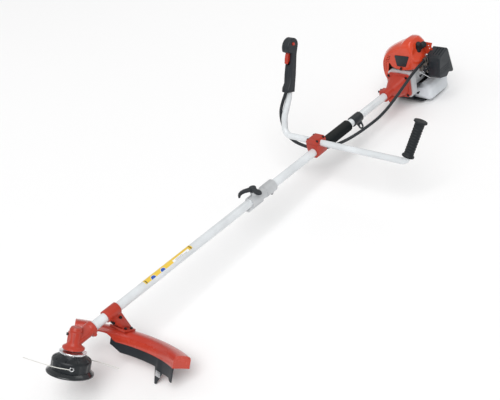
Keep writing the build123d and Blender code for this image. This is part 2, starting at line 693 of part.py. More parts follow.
piston -= Pos(0, cylinder_station, piston_crown - 31) * Cylinder(bore_r - 3.5, 27, align=BOTTOM)
parts["piston"] = piston

# ------------------------------------------------------------------ muffler and engine cover
muffler = Pos(-71, 1682, 42) * Box(40, 60, 66)
muffler = fillet(muffler.edges().filter_by(Axis.Y), 9)
muffler += Pos(-71, 1715, 20) * Rot(-90, 0, 0) * Cylinder(7, 10)
muffler -= Pos(-71, 1682, 42) * Box(36, 56, 62)
muffler -= Pos(-71, 1715, 20) * Rot(-90, 0, 0) * Cylinder(5, 20)
muffler -= rod((-60, cylinder_station, 62), (-45, cylinder_station, 62), 8)
parts["muffler"] = muffler


cover_points = [
    (-60, 34), (-62, -14), (-94, -16), (-106, 8), (-106, 50), (-97, 88), (-72, 113), (-38, 134),
    (8, 155), (20, 167), (56, 168), (78, 152), (85, 118), (78, 98), (72, 76), (62, 50),
]


def cover_section(station, lean, scale):
    """One section of the shroud: lean draws its top right in towards the back."""
    drawn = [(-90 + lean * (x + 90), 64 + lean * (z - 64)) for x, z in cover_points]
    cx, cz = -90 + lean * 76, 64 + lean * 20
    return across(station) * outline(*[(cx + scale * (x - cx), cz + scale * (z - cz)) for x, z in drawn])


cover_front, cover_back = 1622.0, 1736.0
cover_outside = ((cover_front, 1, 0.62), (1652, 1, 0.97), (1690, 0.97, 1), (cover_back, 0.76, 0.99))
cover_inside = (
    (cover_front + 3, 1, 0.56), (1652, 1, 0.92), (1690, 0.97, 0.95), (cover_back + 1, 0.755, 0.93))
cover = loft([cover_section(*section) for section in cover_outside], ruled=True)
cover_room = loft([cover_section(*section) for section in cover_inside], ruled=True)
cover -= cover_room
cover -= slab(Pos(-5, 0) * Rectangle(122, 108), 1600, 1760)
cover -= Pos(66, cylinder_station, 61) * Box(60, 44, 54)
cap_rods = (
    ((29.5, cylinder_station, 127.5), (38, cylinder_station, 136), 12.5),
    ((38.5, cylinder_station, 136.5), (62, cylinder_station - 8, 130), 12.5),
    ((56, cylinder_station - 6, 132), (82, cylinder_station - 10, 141), 9.5),
)
for start, end, r in cap_rods:
    cover -= rod(start, (1.1 * end[0], end[1], end[2] + 1), r + 2)
hole_r = 2.6
for row in range(7):
    for column in range(3):
        station, z = 1676 + 11 * column, 2 + 11 * row
        cover -= rod((-130, station, z), (-96, station, z), hole_r)
parts["engine_cover"] = cover
plug_cap = rod(*cap_rods[0])
for bend in cap_rods[1:]:
    plug_cap += rod(*bend) + Pos(*bend[0]) * Sphere(bend[2])
parts["plug_cap"] = plug_cap

# ------------------------------------------------------------------ carburettor and air filter
carb_low, carb_high = 38.0, 74.0
carburettor = Pos(76, cylinder_station, (carb_low + carb_high) / 2) * Box(36, 38, carb_high - carb_low)
carburettor -= rod((50, cylinder_station, 60), (110, cylinder_station, 60), 8)
cable_stop = Pos(82, 1666, carb_high - 1) * Box(14, 10, 17, align=BOTTOM)
carburettor += cable_stop
parts["carburettor"] = carburettor
shaft_low = carb_low - 10
parts["throttle_lever"] = Pos(80, 1690, 0) * (
    post(2.5, shaft_low, carb_low - 0.3) + Pos(0, 0, shaft_low) * extrude(
        outline((-4, -4), (4, -4), (4, 18), (-4, 18)), 3)
)
filter_base_x, filter_cover_x, filter_far_x = 94.4, 108.0, 152.0
filter_profile = ((1662, 106), (1711, 119), (1717, 112), (1738, 21), (1731, 16), (1708, 25),
                  (1692, 14), (1650, 26), (1645, 34), (1655, 100))
filter_base = side_slab(outline(*filter_profile), filter_base_x, filter_cover_x - free_gap)
filter_base -= rod((90, cylinder_station, 60), (110, cylinder_station, 60), 8)
choke_x, choke_z = 101.0, 60.0
choke_start, choke_boss = 1628.0, 1632.0
choke_pin_r = 2.0
filter_base += disc(choke_boss, 1656, 5, choke_x, choke_z)
filter_base -= disc(choke_boss - 1, 1643, choke_pin_r + running, choke_x, choke_z)
parts["air_filter_base"] = filter_base
filter_cover = side_slab(outline(*filter_profile), filter_cover_x, filter_far_x)
filter_cover = fillet(filter_cover.edges().filter_by(
    lambda e: abs(e.center().X - filter_far_x) < 0.01), 4.0)
inner = [(1689 + 0.86 * (y - 1689), 62 + 0.86 * (z - 62)) for y, z in filter_profile]
filter_cover -= side_slab(outline(*inner), filter_cover_x - 1, filter_far_x - 3)
parts["air_filter_cover"] = filter_cover
parts["choke_lever"] = (
    disc(choke_start, choke_boss - free_gap, 6, choke_x, choke_z)
    + disc(choke_start, 1642, choke_pin_r, choke_x, choke_z)
    + slab(Pos(choke_x, choke_z + 10) * Rectangle(6, 20), choke_start, choke_boss - free_gap)
)

# ------------------------------------------------------------------ tank, foot and starter
tank_front, tank_back = 1665.0, 1792.0
tank_low, tank_high = -85.0, -22.0
tank = Pos(-2, (tank_front + tank_back) / 2, (tank_low + tank_high) / 2) * Box(
    186, tank_back - tank_front, tank_high - tank_low)
tank = fillet(tank.edges(), 16)
tank_inner = Pos(-2, (tank_front + tank_back) / 2, (tank_low + tank_high) / 2) * Box(
    180, tank_back - tank_front - 6, tank_high - tank_low - 6)
tank_inner = fillet(tank_inner.edges(), 13)
cradle_r = 52.0
cradle = disc(1600, 1850, cradle_r)
cradle_outer = disc(1600, 1850, cradle_r + 3)
tank = tank - (tank_inner - cradle_outer) - cradle
cap_x, cap_s = -70.0, 1765.0
cap_r = 16.0
tank += Pos(cap_x, cap_s, tank_high - 3) * (
    Cylinder(11, 11, align=BOTTOM) - Cylinder(8, 11, align=BOTTOM))
tank -= Pos(cap_x, cap_s, tank_high - 8) * Cylinder(8, 9, align=BOTTOM)
parts["fuel_tank"] = tank
fuel_cap = Pos(cap_x, cap_s, tank_high + 1) * (
    Cylinder(cap_r, 13, align=BOTTOM) - Cylinder(11.3, 7.5, align=BOTTOM))
parts["fuel_cap"] = fuel_cap

recoil_end = 1772.0
recoil_r = 50.0
rope_height = 25.0
recoil = disc(recoil_start, recoil_end, recoil_r) - disc(recoil_start - 1, recoil_end - 3, recoil_r - 3)
rope_station = 1760.0
rope_r = 1.8
recoil -= rod((30, rope_station, rope_height), (60, rope_station, rope_height), rope_r + 0.7)
for k in range(12):
    recoil -= slab(Rot(0, 0, 30 * k) * Pos(34, 0) * Rectangle(16, 4), recoil_end - 4, recoil_end + 1)
recoil += disc(recoil_end - 10, recoil_end - 2, 5.0)
parts["recoil_housing"] = recoil
pulley = disc(1757, 1759, 28) + disc(1757, 1766, rope_height - rope_r) + disc(1764, 1766, 28)
pulley -= disc(1750, 1768, 5.0 + running + 4)
parts["recoil_pulley"] = pulley
handle_start_x = recoil_r + 3
starter = Pos(handle_start_x, rope_station, rope_height) * Rot(0, 90, 0) * (
    Cylinder(5, 10, align=BOTTOM) + Pos(0, 0, 10) * Box(14, 42, 12, align=BOTTOM))
parts["starter_handle"] = starter


def ground_height(s, leg_point, foot_point):
    """The ground line through the guard's leg and the foot, square to the shaft."""
    share = (s - leg_point[0]) / (foot_point[0] - leg_point[0])
    return leg_point[1] + share * (foot_point[1] - leg_point[1])


leg_local = Vector(leg_x, on_arc(skirt_r + skirt_wall, leg_x), leg_low)
leg_tip = head_frame.from_local_coords(leg_local)
foot_middle = (foot_front + foot_back) / 2
leg_yz, foot_yz = (leg_tip.Y, leg_tip.Z), (foot_middle, foot_low)
foot_top = tank_low - 0.2
foot = side_slab(
    outline((foot_front, ground_height(foot_front, leg_yz, foot_yz)),
            (foot_back, ground_height(foot_back, leg_yz, foot_yz)),
            (foot_back, foot_top), (1664, foot_top), (1664, -54), (1650, -54), (1646, -80)),
    -foot_half_width, foot_half_width,
)
for x in (-40, 40):
    foot -= side_slab(outline((1640, -82), (1672, -82), (1672, -50), (1640, -50)), x - 18, x + 18)
parts["engine_foot"] = foot

upper_screws += neck_screws + flange_screws + [(coupling_screw_seat, (0, 0, 1), 9.5)]
parts["upper_screws"] = Compound(children=[screw(*s) for s in upper_screws])

# ------------------------------------------------------------------ resting frame and files
rest_angle = math.degrees(math.atan2(foot_low - leg_tip.Z, foot_middle - leg_tip.Y))
to_rest = Rot(-rest_angle, 0, 0) * Pos(0, -foot_middle, -foot_low)
os.makedirs("parts", exist_ok=True)
for name, shape in parts.items():
    export_step(to_rest * shape, f"parts/{name}.step")
print("rest angle:", round(rest_angle, 3), "pieces:", len(parts))
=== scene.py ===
import json
import math

import bpy
from mathutils import Matrix, Vector

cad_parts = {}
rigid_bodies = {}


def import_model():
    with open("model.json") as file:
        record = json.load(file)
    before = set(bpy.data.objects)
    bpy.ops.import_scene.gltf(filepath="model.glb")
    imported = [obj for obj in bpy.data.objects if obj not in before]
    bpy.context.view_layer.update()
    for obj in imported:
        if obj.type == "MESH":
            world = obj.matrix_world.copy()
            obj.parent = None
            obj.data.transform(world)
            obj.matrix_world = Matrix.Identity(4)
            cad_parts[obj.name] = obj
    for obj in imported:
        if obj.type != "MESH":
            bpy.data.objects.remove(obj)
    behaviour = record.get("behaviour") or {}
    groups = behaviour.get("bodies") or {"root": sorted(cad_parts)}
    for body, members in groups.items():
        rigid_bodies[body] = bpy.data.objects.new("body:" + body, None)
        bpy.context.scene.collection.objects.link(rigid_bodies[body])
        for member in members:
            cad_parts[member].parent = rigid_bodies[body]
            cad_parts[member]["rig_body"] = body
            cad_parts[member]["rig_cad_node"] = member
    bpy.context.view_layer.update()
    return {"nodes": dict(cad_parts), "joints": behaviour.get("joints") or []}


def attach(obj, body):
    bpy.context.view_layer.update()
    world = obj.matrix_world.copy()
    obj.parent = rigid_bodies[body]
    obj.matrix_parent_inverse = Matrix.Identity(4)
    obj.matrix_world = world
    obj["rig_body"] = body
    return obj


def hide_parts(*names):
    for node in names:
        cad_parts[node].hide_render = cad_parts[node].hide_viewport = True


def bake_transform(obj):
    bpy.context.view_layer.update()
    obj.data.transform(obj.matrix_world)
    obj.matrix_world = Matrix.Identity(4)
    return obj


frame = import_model()
joints = {j["name"]: j for j in frame["joints"]}
MM = 0.001


# ---------------------------------------------------------------- where things are
# The machine lies on its foot and the guard's leg, so its shaft is a little off level.
# Pieces are made about the shaft line, x to the machine's left, y to the rear, z square
# to the shaft, in millimetres, and settled into the resting position when they are done.
shaft_front = Vector(joints["head_spin"]["pos_m"])
to_rear = -Vector(joints["shaft_split"]["axis"]).normalized()
to_left = Vector((1, 0, 0))
machine = Matrix((to_left, to_rear, to_left.cross(to_rear))).transposed().to_4x4()
machine.translation = shaft_front
spindle_up = Vector(joints["head_spin"]["axis"]).normalized()
head_line = Matrix((to_left, spindle_up.cross(to_left), spindle_up)).transposed().to_4x4()
head_line.translation = shaft_front


def spot(x, y, z, line=machine):
    """A point in millimetres about the shaft line, where it lies at rest in metres."""
    return line @ (Vector((x, y, z)) * MM)


def along(start, direction, line=machine):
    """A place with its z along a direction, for pieces turned about their own axis."""
    turn = Vector(direction).to_track_quat("Z", "Y").to_matrix().to_4x4()
    turn.translation = Vector(start) * MM
    return line @ turn


# ---------------------------------------------------------------- camera, floor and light
# The camera looks from ahead, above and to the machine's left, as in a catalogue picture.
eye = spot(1965.0, -1020.9, 1585.3)
view_right = machine.to_3x3() @ Vector((0.7400, 0.6427, -0.2000))
view_back = machine.to_3x3() @ Vector((0.6380, -0.5750, 0.5120))
view_up = view_back.cross(view_right).normalized()
view_right = view_up.cross(view_back).normalized()
bpy.ops.object.camera_add()
camera = bpy.context.object
turn = Matrix((view_right, view_up, view_back.normalized())).transposed().to_4x4()
turn.translation = eye
camera.matrix_world = turn
camera.data.sensor_width = 36.0
camera.data.lens = 69.8
bpy.context.scene.camera = camera

bpy.ops.mesh.primitive_plane_add(size=24.0, location=(0, 0, 0))
floor = bpy.context.object
floor.name = "floor"
paper = bpy.data.materials.new("studio_paper")
paper.use_nodes = True
paper.node_tree.nodes["Principled BSDF"].inputs["Base Color"].default_value = (0.93, 0.93, 0.93, 1)
paper.node_tree.nodes["Principled BSDF"].inputs["Roughness"].default_value = 0.9
floor.data.materials.append(paper)

world = bpy.data.worlds.new("studio")
bpy.context.scene.world = world
world.use_nodes = True
world.node_tree.nodes["Background"].inputs["Color"].default_value = (1.0, 1.0, 1.0, 1)
world.node_tree.nodes["Background"].inputs["Strength"].default_value = 0.50
bpy.ops.object.light_add(type="SUN")
sky = bpy.context.object
sky.name = "overhead_diffuser"
sky.data.energy = 1.62
sky.data.angle = math.radians(50)
sky.rotation_euler = Vector((-0.35, 0.45, -1.0)).to_track_quat("-Z", "Y").to_euler()
middle = spot(0, 850, 0)
for name, offset, size, power in (
    ("key_softbox", (2.0, -2.4, 2.6), 1.6, 22),
    ("fill_softbox", (-3.0, -1.5, 2.0), 2.2, 8),
    ("rear_softbox", (0.5, 3.4, 2.6), 1.8, 12),
):
    bpy.ops.object.light_add(type="AREA", location=middle + Vector(offset))
    lamp = bpy.context.object
    lamp.name = name
    lamp.data.size = size
    lamp.data.energy = power
    lamp.rotation_euler = (-Vector(offset)).to_track_quat("-Z", "Y").to_euler()
bpy.context.scene.view_settings.view_transform = "Standard"


# ---------------------------------------------------------------- throttle conduit
# A black rubber-sleeved cable conduit, 11 mm across. It leaves the throttle handle's palm
# side, hangs under the bar clamp, and climbs past the clutch housing to the carburettor.
def spline_tube(name, points, diameter, resolution=10):
    """A smooth NURBS tube through space, its control points given in the row frame."""
    bpy.ops.object.select_all(action="DESELECT")
    line = bpy.data.curves.new(name, "CURVE")
    line.dimensions = "3D"
    # The bounds of a curve grow by its points' radius, so the radius holds the thickness.
    line.bevel_depth = 1.0
    line.bevel_resolution = 5
    line.resolution_u = resolution
    line.use_fill_caps = True
    spline = line.splines.new("NURBS")
    spline.points.add(len(points) - 1)
    for place, point in zip(spline.points, points):
        place.co = (*point, 1)
        place.radius = diameter / 2
    spline.order_u = 3
    spline.use_endpoint_u = True
    tube = bpy.data.objects.new(name, line)
    bpy.context.scene.collection.objects.link(tube)
    return tube


def new_group(name, inputs, outputs):
    group = bpy.data.node_groups.new(name, "ShaderNodeTree")
    for label, kind, value in inputs:
        socket = group.interface.new_socket(label, in_out="INPUT", socket_type=kind)
        socket.default_value = value
    for label, kind in outputs:
        group.interface.new_socket(label, in_out="OUTPUT", socket_type=kind)
    return group, group.nodes.new("NodeGroupInput"), group.nodes.new("NodeGroupOutput")


def make_surface_group():
    """Grain, patchy colour, rubbed edges and settled dust, in object coordinates."""
    group, given, out = new_group(
        "handled_surface",
        [("Color", "NodeSocketColor", (0.5, 0.5, 0.5, 1)),
         ("Rubbed Color", "NodeSocketColor", (0.6, 0.6, 0.6, 1)),
         ("Rub", "NodeSocketFloat", 0.15), ("Dust", "NodeSocketFloat", 0.1),
         ("Roughness", "NodeSocketFloat", 0.4), ("Grain Size", "NodeSocketFloat", 900.0),
         ("Grain Depth", "NodeSocketFloat", 0.1)],
        [("Color", "NodeSocketColor"), ("Roughness", "NodeSocketFloat"), ("Normal", "NodeSocketVector")],
    )
    nodes, links = group.nodes, group.links
    place = nodes.new("ShaderNodeTexCoord")
    patches = nodes.new("ShaderNodeTexNoise")
    patches.inputs["Scale"].default_value = 14.0
    patches.inputs["Detail"].default_value = 5.0
    grain = nodes.new("ShaderNodeTexNoise")
    grain.inputs["Detail"].default_value = 3.0
    edge = nodes.new("ShaderNodeNewGeometry")
    links.new(place.outputs["Object"], patches.inputs["Vector"])
    links.new(place.outputs["Object"], grain.inputs["Vector"])
    links.new(given.outputs["Grain Size"], grain.inputs["Scale"])

    sharp = nodes.new("ShaderNodeMapRange")
    sharp.inputs["From Min"].default_value = 0.54
    sharp.inputs["From Max"].default_value = 0.66
    links.new(edge.outputs["Pointiness"], sharp.inputs["Value"])
    worn = nodes.new("ShaderNodeMath")
    worn.operation = "MULTIPLY"
    links.new(sharp.outputs["Result"], worn.inputs[0])
    links.new(patches.outputs["Fac"], worn.inputs[1])
    rub = nodes.new("ShaderNodeMath")
    rub.operation = "MULTIPLY"
    links.new(worn.outputs[0], rub.inputs[0])
    links.new(given.outputs["Rub"], rub.inputs[1])

    shade = nodes.new("ShaderNodeMapRange")
    shade.inputs["From Min"].default_value = 0.3
    shade.inputs["From Max"].default_value = 0.7
    shade.inputs["To Min"].default_value = 0.90
    shade.inputs["To Max"].default_value = 1.06
    links.new(patches.outputs["Fac"], shade.inputs["Value"])
    tint = nodes.new("ShaderNodeVectorMath")
    tint.operation = "SCALE"
    links.new(given.outputs["Color"], tint.inputs[0])
    links.new(shade.outputs["Result"], tint.inputs["Scale"])
    rubbed = nodes.new("ShaderNodeMix")
    rubbed.data_type = "RGBA"
    links.new(rub.outputs[0], rubbed.inputs["Factor"])
    links.new(tint.outputs["Vector"], rubbed.inputs["A"])
    links.new(given.outputs["Rubbed Color"], rubbed.inputs["B"])

    tilt = nodes.new("ShaderNodeSeparateXYZ")
    links.new(edge.outputs["Normal"], tilt.inputs[0])
    level = nodes.new("ShaderNodeMapRange")
    level.inputs["From Min"].default_value = 0.45
    level.inputs["From Max"].default_value = 1.0
    links.new(tilt.outputs["Z"], level.inputs["Value"])
    lying = nodes.new("ShaderNodeMath")
    lying.operation = "MULTIPLY"
    links.new(level.outputs["Result"], lying.inputs[0])
    links.new(given.outputs["Dust"], lying.inputs[1])
    dusty = nodes.new("ShaderNodeMix")
    dusty.data_type = "RGBA"
    dusty.inputs["B"].default_value = (0.55, 0.52, 0.47, 1)
    links.new(lying.outputs[0], dusty.inputs["Factor"])
    links.new(rubbed.outputs["Result"], dusty.inputs["A"])
    links.new(dusty.outputs["Result"], out.inputs["Color"])

    gloss = nodes.new("ShaderNodeMapRange")
    gloss.inputs["To Min"].default_value = -0.06
    gloss.inputs["To Max"].default_value = 0.08
    links.new(patches.outputs["Fac"], gloss.inputs["Value"])
    rough = nodes.new("ShaderNodeMath")
    links.new(gloss.outputs["Result"], rough.inputs[0])
    links.new(given.outputs["Roughness"], rough.inputs[1])
    settled = nodes.new("ShaderNodeMath")
    links.new(rough.outputs[0], settled.inputs[0])
    links.new(lying.outputs[0], settled.inputs[1])
    links.new(settled.outputs[0], out.inputs["Roughness"])

    bump = nodes.new("ShaderNodeBump")
    bump.inputs["Distance"].default_value = 0.0004
    links.new(grain.outputs["Fac"], bump.inputs["Height"])
    links.new(given.outputs["Grain Depth"], bump.inputs["Strength"])
    links.new(bump.outputs["Normal"], out.inputs["Normal"])
    return group


handled_surface = make_surface_group()


def finish(name, color, roughness, rub=(0.6, 0.6, 0.6), rub_amount=0.2, dust=0.05,
           grain=900.0, depth=0.08, metallic=0.0, coat=0.0, specular=0.5):
    """A material whose surface is the handled_surface group on a Principled shader."""
    material = bpy.data.materials.new(name)
    material.use_nodes = True
    tree = material.node_tree
    shader = tree.nodes["Principled BSDF"]
    shader.inputs["Metallic"].default_value = metallic
    shader.inputs["Coat Weight"].default_value = coat
    shader.inputs["Coat Roughness"].default_value = 0.08
    shader.inputs["Specular IOR Level"].default_value = specular
    surface = tree.nodes.new("ShaderNodeGroup")
    surface.node_tree = handled_surface
    surface.name = "surface"
    surface.inputs["Color"].default_value = (*color, 1)
    surface.inputs["Rubbed Color"].default_value = (*rub, 1)
    surface.inputs["Rub"].default_value = rub_amount
    surface.inputs["Dust"].default_value = dust
    surface.inputs["Roughness"].default_value = roughness
    surface.inputs["Grain Size"].default_value = grain
    surface.inputs["Grain Depth"].default_value = depth
    tree.links.new(surface.outputs["Color"], shader.inputs["Base Color"])
    tree.links.new(surface.outputs["Roughness"], shader.inputs["Roughness"])
    tree.links.new(surface.outputs["Normal"], shader.inputs["Normal"])
    return material


def paint_with(piece, material):
    piece.data.materials.clear()
    piece.data.materials.append(material)
    return piece


conduit_route = [
    (-132, 1144.5, 174.5), (-149, 1126, 130), (-165, 1129, 84), (-156, 1122, 44), (-130, 1114, 15),
    (-100, 1117, -4), (-60, 1134, -24), (-28, 1166, -37), (4, 1208, -36), (35, 1250, -25),
    (56, 1309, -14), (67, 1396, -6), (72, 1494, 26), (76, 1566, 56), (80, 1624, 76), (82, 1661, 81),
]
conduit = spline_tube("throttle_conduit_sleeve", [spot(*p) for p in conduit_route], 0.011)
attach(conduit, "power_unit")
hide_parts("throttle_conduit")
rubber_sleeve = finish("conduit_rubber", (0.012, 0.016, 0.020), 0.44, rub=(0.05, 0.055, 0.06),
                       rub_amount=0.2, dust=0.015, grain=1200.0, depth=0.12, specular=0.4)
paint_with(conduit, rubber_sleeve)


# ---------------------------------------------------------------- cutting lines
# Two ends of round nylon line, 2.4 mm thick, pulled from the spool through the eyelets.
# Each lies against the head's side and then springs straight out.
line_height = -62.0
clear_nylon = finish("nylon_monofilament", (0.66, 0.66, 0.62), 0.30, rub=(0.8, 0.8, 0.78), rub_amount=0.3,
                     dust=0.02, grain=2500.0, depth=0.05)


def around(r, angle, height=0.0):
    """A point of the line head, in millimetres about its spindle."""
    return (r * math.cos(math.radians(angle)), r * math.sin(math.radians(angle)), height)


line_angles = ((58.6, -41), (58.6, -50), (58.6, -60), (64, -72), (90, -111), (131, -130.4))
for side, half_turn in (("near", 0), ("far", 180)):
    route = [spot(*around(r, a + half_turn, line_height), line=head_line) for r, a in line_angles]
    line = spline_tube(f"cutting_line_{side}", route, 0.0024)
    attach(line, "trimmer_head")
    if side == "near":
        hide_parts("cutting_lines")
    paint_with(line, clear_nylon)


# ---------------------------------------------------------------- main tubes
# Two drawn aluminium tubes in white gloss paint, 28 mm across, which meet in the coupling.
# Their ends are cut square with a small rolled edge. The lower one has a yellow decal.
def deselect():
    if bpy.context.object and bpy.context.object.mode != "OBJECT":
        bpy.ops.object.mode_set(mode="OBJECT")
    bpy.ops.object.select_all(action="DESELECT")


def only(piece):
    deselect()
    piece.select_set(True)
    bpy.context.view_layer.objects.active = piece


def chain(name, points, closed=False):
    """A piece that starts as one point, extruded from point to point in millimetres."""
    deselect()
    bpy.ops.mesh.primitive_plane_add(size=MM)
    piece = bpy.context.object
    piece.name = name
    bpy.ops.object.mode_set(mode="EDIT")
    bpy.ops.mesh.select_all(action="SELECT")
    bpy.ops.mesh.merge(type="CENTER")
    bpy.ops.transform.translate(value=Vector(points[0]) * MM)
    for before, here in zip(points, points[1:]):
        step = (Vector(here) - Vector(before)) * MM
        bpy.ops.mesh.extrude_region_move(TRANSFORM_OT_translate={"value": step})
    bpy.ops.mesh.select_all(action="SELECT")
    if closed:
        bpy.ops.mesh.edge_face_add()
    return piece


def tidy_faces(piece):
    """Merges doubles and turns every face outwards."""
    only(piece)
    bpy.ops.object.mode_set(mode="EDIT")
    bpy.ops.mesh.select_all(action="SELECT")
    bpy.ops.mesh.remove_doubles(threshold=0.00001)
    bpy.ops.mesh.normals_make_consistent(inside=False)
    bpy.ops.object.mode_set(mode="OBJECT")
    return piece


def turned(name, profile, steps=72):
    """A profile of (radius, height) turned about the piece's z, closed unless its ends are on it."""
    ends_on_axis = profile[0][0] == 0 and profile[-1][0] == 0
    points = [(r, 0, z) for r, z in profile]
    piece = chain(name, points if ends_on_axis else points + points[:1])
    bpy.ops.mesh.spin(steps=steps, angle=2 * math.pi, center=(0, 0, 0), axis=(0, 0, 1))
    return tidy_faces(piece)


def apply_modifier(piece, kind, **settings):
    only(piece)
    modifier = piece.modifiers.new(kind.lower(), kind)
    for key, value in settings.items():
        setattr(modifier, key, value)
    bpy.ops.object.modifier_apply(modifier=modifier.name)
    return piece


def rounded(piece, width, segments=3, angle=32):
    """Breaks the edges of a piece by a width in millimetres."""
    apply_modifier(piece, "BEVEL", width=width * MM, segments=segments, limit_method="ANGLE",
                   angle_limit=math.radians(angle), harden_normals=False, use_clamp_overlap=True)
    only(piece)
    bpy.ops.object.shade_smooth_by_angle(angle=math.radians(38))
    return piece


def settle(piece, place=machine):
    """Puts a piece where it belongs, with its place in its mesh."""
    only(piece)
    piece.matrix_world = place @ piece.matrix_world
    bpy.ops.object.transform_apply(location=True, rotation=True, scale=True)
    return piece


def fit(piece, body, *nodes, slot=None):
    """The piece rides on a body and stands for its CAD nodes."""
    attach(piece, body)
    if nodes:
        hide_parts(*nodes)
    return piece


white_paint = finish("white_gloss_paint", (0.70, 0.73, 0.75), 0.22, dust=0.02, grain=260.0, depth=0.02,
                     coat=0.5)
tube_r, tube_wall = 14.0, 1.5


def main_tube(name, start, end, body):
    lip = 0.7
    tube = turned(name, [
        (tube_r, start + lip), (tube_r, end - lip), (tube_r - lip, end), (tube_r - tube_wall, end),
        (tube_r - tube_wall, start), (tube_r - lip, start),
    ], steps=96)
    rounded(tube, 0.3, segments=2)
    settle(tube, along((0, 0, 0), (0, 1, 0)))
    paint_with(tube, white_paint)
    return fit(tube, body, name)


main_tube("lower_tube", 42.0, 808.0, "lower_unit").name = "lower_tube_skin"
main_tube("upper_tube", 811.0, 1550.0, "power_unit").name = "upper_tube_skin"


# ---------------------------------------------------------------- decal on the lower tube
# A yellow foil decal wrapped over the upper left of the lower tube, with two plain blue
# discs, a white panel and dark edge bars. It carries no words.
decal_start, decal_end = 272.0, 470.0
decal_from, decal_to = -20.0, 100.0


def shaft_coordinates(tree):
    """Coordinates in metres about the shaft line: x left, y rearward, z square to it."""
    place = tree.nodes.new("ShaderNodeTexCoord")
    turn_back = tree.nodes.new("ShaderNodeMapping")
    turn_back.vector_type = "TEXTURE"
    turn_back.inputs["Location"].default_value = machine.translation
    turn_back.inputs["Rotation"].default_value = machine.to_euler()
    tree.links.new(place.outputs["Object"], turn_back.inputs["Vector"])
    axes = tree.nodes.new("ShaderNodeSeparateXYZ")
    tree.links.new(turn_back.outputs["Vector"], axes.inputs[0])
    return axes


def between(tree, value, low, high):
    """1 where a value lies between two limits, or 0."""
    middle = tree.nodes.new("ShaderNodeMath")
    middle.operation = "COMPARE"
    middle.inputs[1].default_value = (low + high) / 2
    middle.inputs[2].default_value = (high - low) / 2
    tree.links.new(value, middle.inputs[0])
    return middle.outputs[0]


def both(tree, a, b, operation="MULTIPLY"):
    node = tree.nodes.new("ShaderNodeMath")
    node.operation = operation
    tree.links.new(a, node.inputs[0])
    tree.links.new(b, node.inputs[1])
    return node.outputs[0]


def painted_over(tree, base, mask, color):
    mix = tree.nodes.new("ShaderNodeMix")
    mix.data_type = "RGBA"
    tree.links.new(mask, mix.inputs["Factor"])
    tree.links.new(base, mix.inputs["A"])
    mix.inputs["B"].default_value = (*color, 1)
    return mix.outputs["Result"]


def make_decal_foil():
    material = finish("printed_foil", (0.83, 0.55, 0.02), 0.30, dust=0.0, grain=300.0, depth=0.02, coat=0.4)
    tree = material.node_tree
    axes = shaft_coordinates(tree)
    angle = tree.nodes.new("ShaderNodeMath")
    angle.operation = "ARCTAN2"
    tree.links.new(axes.outputs["Z"], angle.inputs[0])
    tree.links.new(axes.outputs["X"], angle.inputs[1])
    color = tree.nodes["surface"].outputs["Color"]
    station, turn = axes.outputs["Y"], angle.outputs[0]
    panels = (
        ((0.388, 0.456), (0.35, 1.25), (0.86, 0.87, 0.88)),
        ((0.276, 0.279), (-0.3, 1.7), (0.03, 0.03, 0.03)),
        ((0.463, 0.466), (-0.3, 1.7), (0.03, 0.03, 0.03)),
        ((0.398, 0.446), (0.52, 0.60), (0.20, 0.21, 0.22)),
        ((0.398, 0.446), (0.76, 0.84), (0.20, 0.21, 0.22)),
        ((0.398, 0.430), (1.00, 1.08), (0.20, 0.21, 0.22)),
    )
    for along_shaft, round_tube, paint in panels:
        mask = both(tree, between(tree, station, *along_shaft), between(tree, turn, *round_tube))
        color = painted_over(tree, color, mask, paint)
    for centre in (0.305, 0.345):
        across_m = tree.nodes.new("ShaderNodeMath")
        across_m.operation = "MULTIPLY_ADD"
        across_m.inputs[1].default_value = 0.014
        across_m.inputs[2].default_value = -0.0115
        tree.links.new(turn, across_m.inputs[0])
        along_m = tree.nodes.new("ShaderNodeMath")
        along_m.operation = "SUBTRACT"
        along_m.inputs[1].default_value = centre
        tree.links.new(station, along_m.inputs[0])
        squares = both(tree, both(tree, across_m.outputs[0], across_m.outputs[0]),
                       both(tree, along_m.outputs[0], along_m.outputs[0]), "ADD")
        color = painted_over(tree, color, between(tree, squares, -1.0, 0.0093 ** 2), (0.90, 0.90, 0.90))
        color = painted_over(tree, color, between(tree, squares, -1.0, 0.0084 ** 2), (0.02, 0.09, 0.42))
    tree.links.new(color, tree.nodes["Principled BSDF"].inputs["Base Color"])
    return material


foil = chain("tube_decal", [
    (tube_r + 0.05, 0, decal_start), (tube_r + 0.22, 0, decal_start), (tube_r + 0.22, 0, decal_end),
    (tube_r + 0.05, 0, decal_end), (tube_r + 0.05, 0, decal_start),
])
bpy.ops.transform.rotate(value=-math.radians(-decal_from), orient_axis="Z", center_override=(0, 0, 0))
bpy.ops.mesh.spin(steps=32, angle=-math.radians(decal_to - decal_from), center=(0, 0, 0), axis=(0, 0, 1))
bpy.ops.object.mode_set(mode="OBJECT")
tidy_faces(foil)
bpy.ops.object.shade_smooth_by_angle(angle=math.radians(38))
settle(foil, along((0, 0, 0), (0, 1, 0)))
paint_with(foil, make_decal_foil())
fit(foil, "lower_unit", slot="white_paint")


# ---------------------------------------------------------------- gear head
# A red-painted aluminium casting: an upright barrel for the spindle with a stepped cap,
# an arm that grips the tube, a round flange below, cast ribs and a black filler screw.
def refined(node, name, width=0.8, angle=28):
    """A copy of a CAD piece with its faces made whole and its edges broken."""
    deselect()
    piece = frame["nodes"][node].copy()
    piece.data = piece.data.copy()
    bpy.context.scene.collection.objects.link(piece)
    piece.parent = None
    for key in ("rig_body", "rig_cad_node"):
        del piece[key]
    piece.name = name
    only(piece)
    bpy.ops.object.mode_set(mode="EDIT")
    bpy.ops.mesh.select_all(action="SELECT")
    bpy.ops.mesh.remove_doubles(threshold=0.00001)
    bpy.ops.mesh.dissolve_limited(angle_limit=math.radians(0.6))
    bpy.ops.object.mode_set(mode="OBJECT")
    if width:
        rounded(piece, width, angle=angle)
    return piece


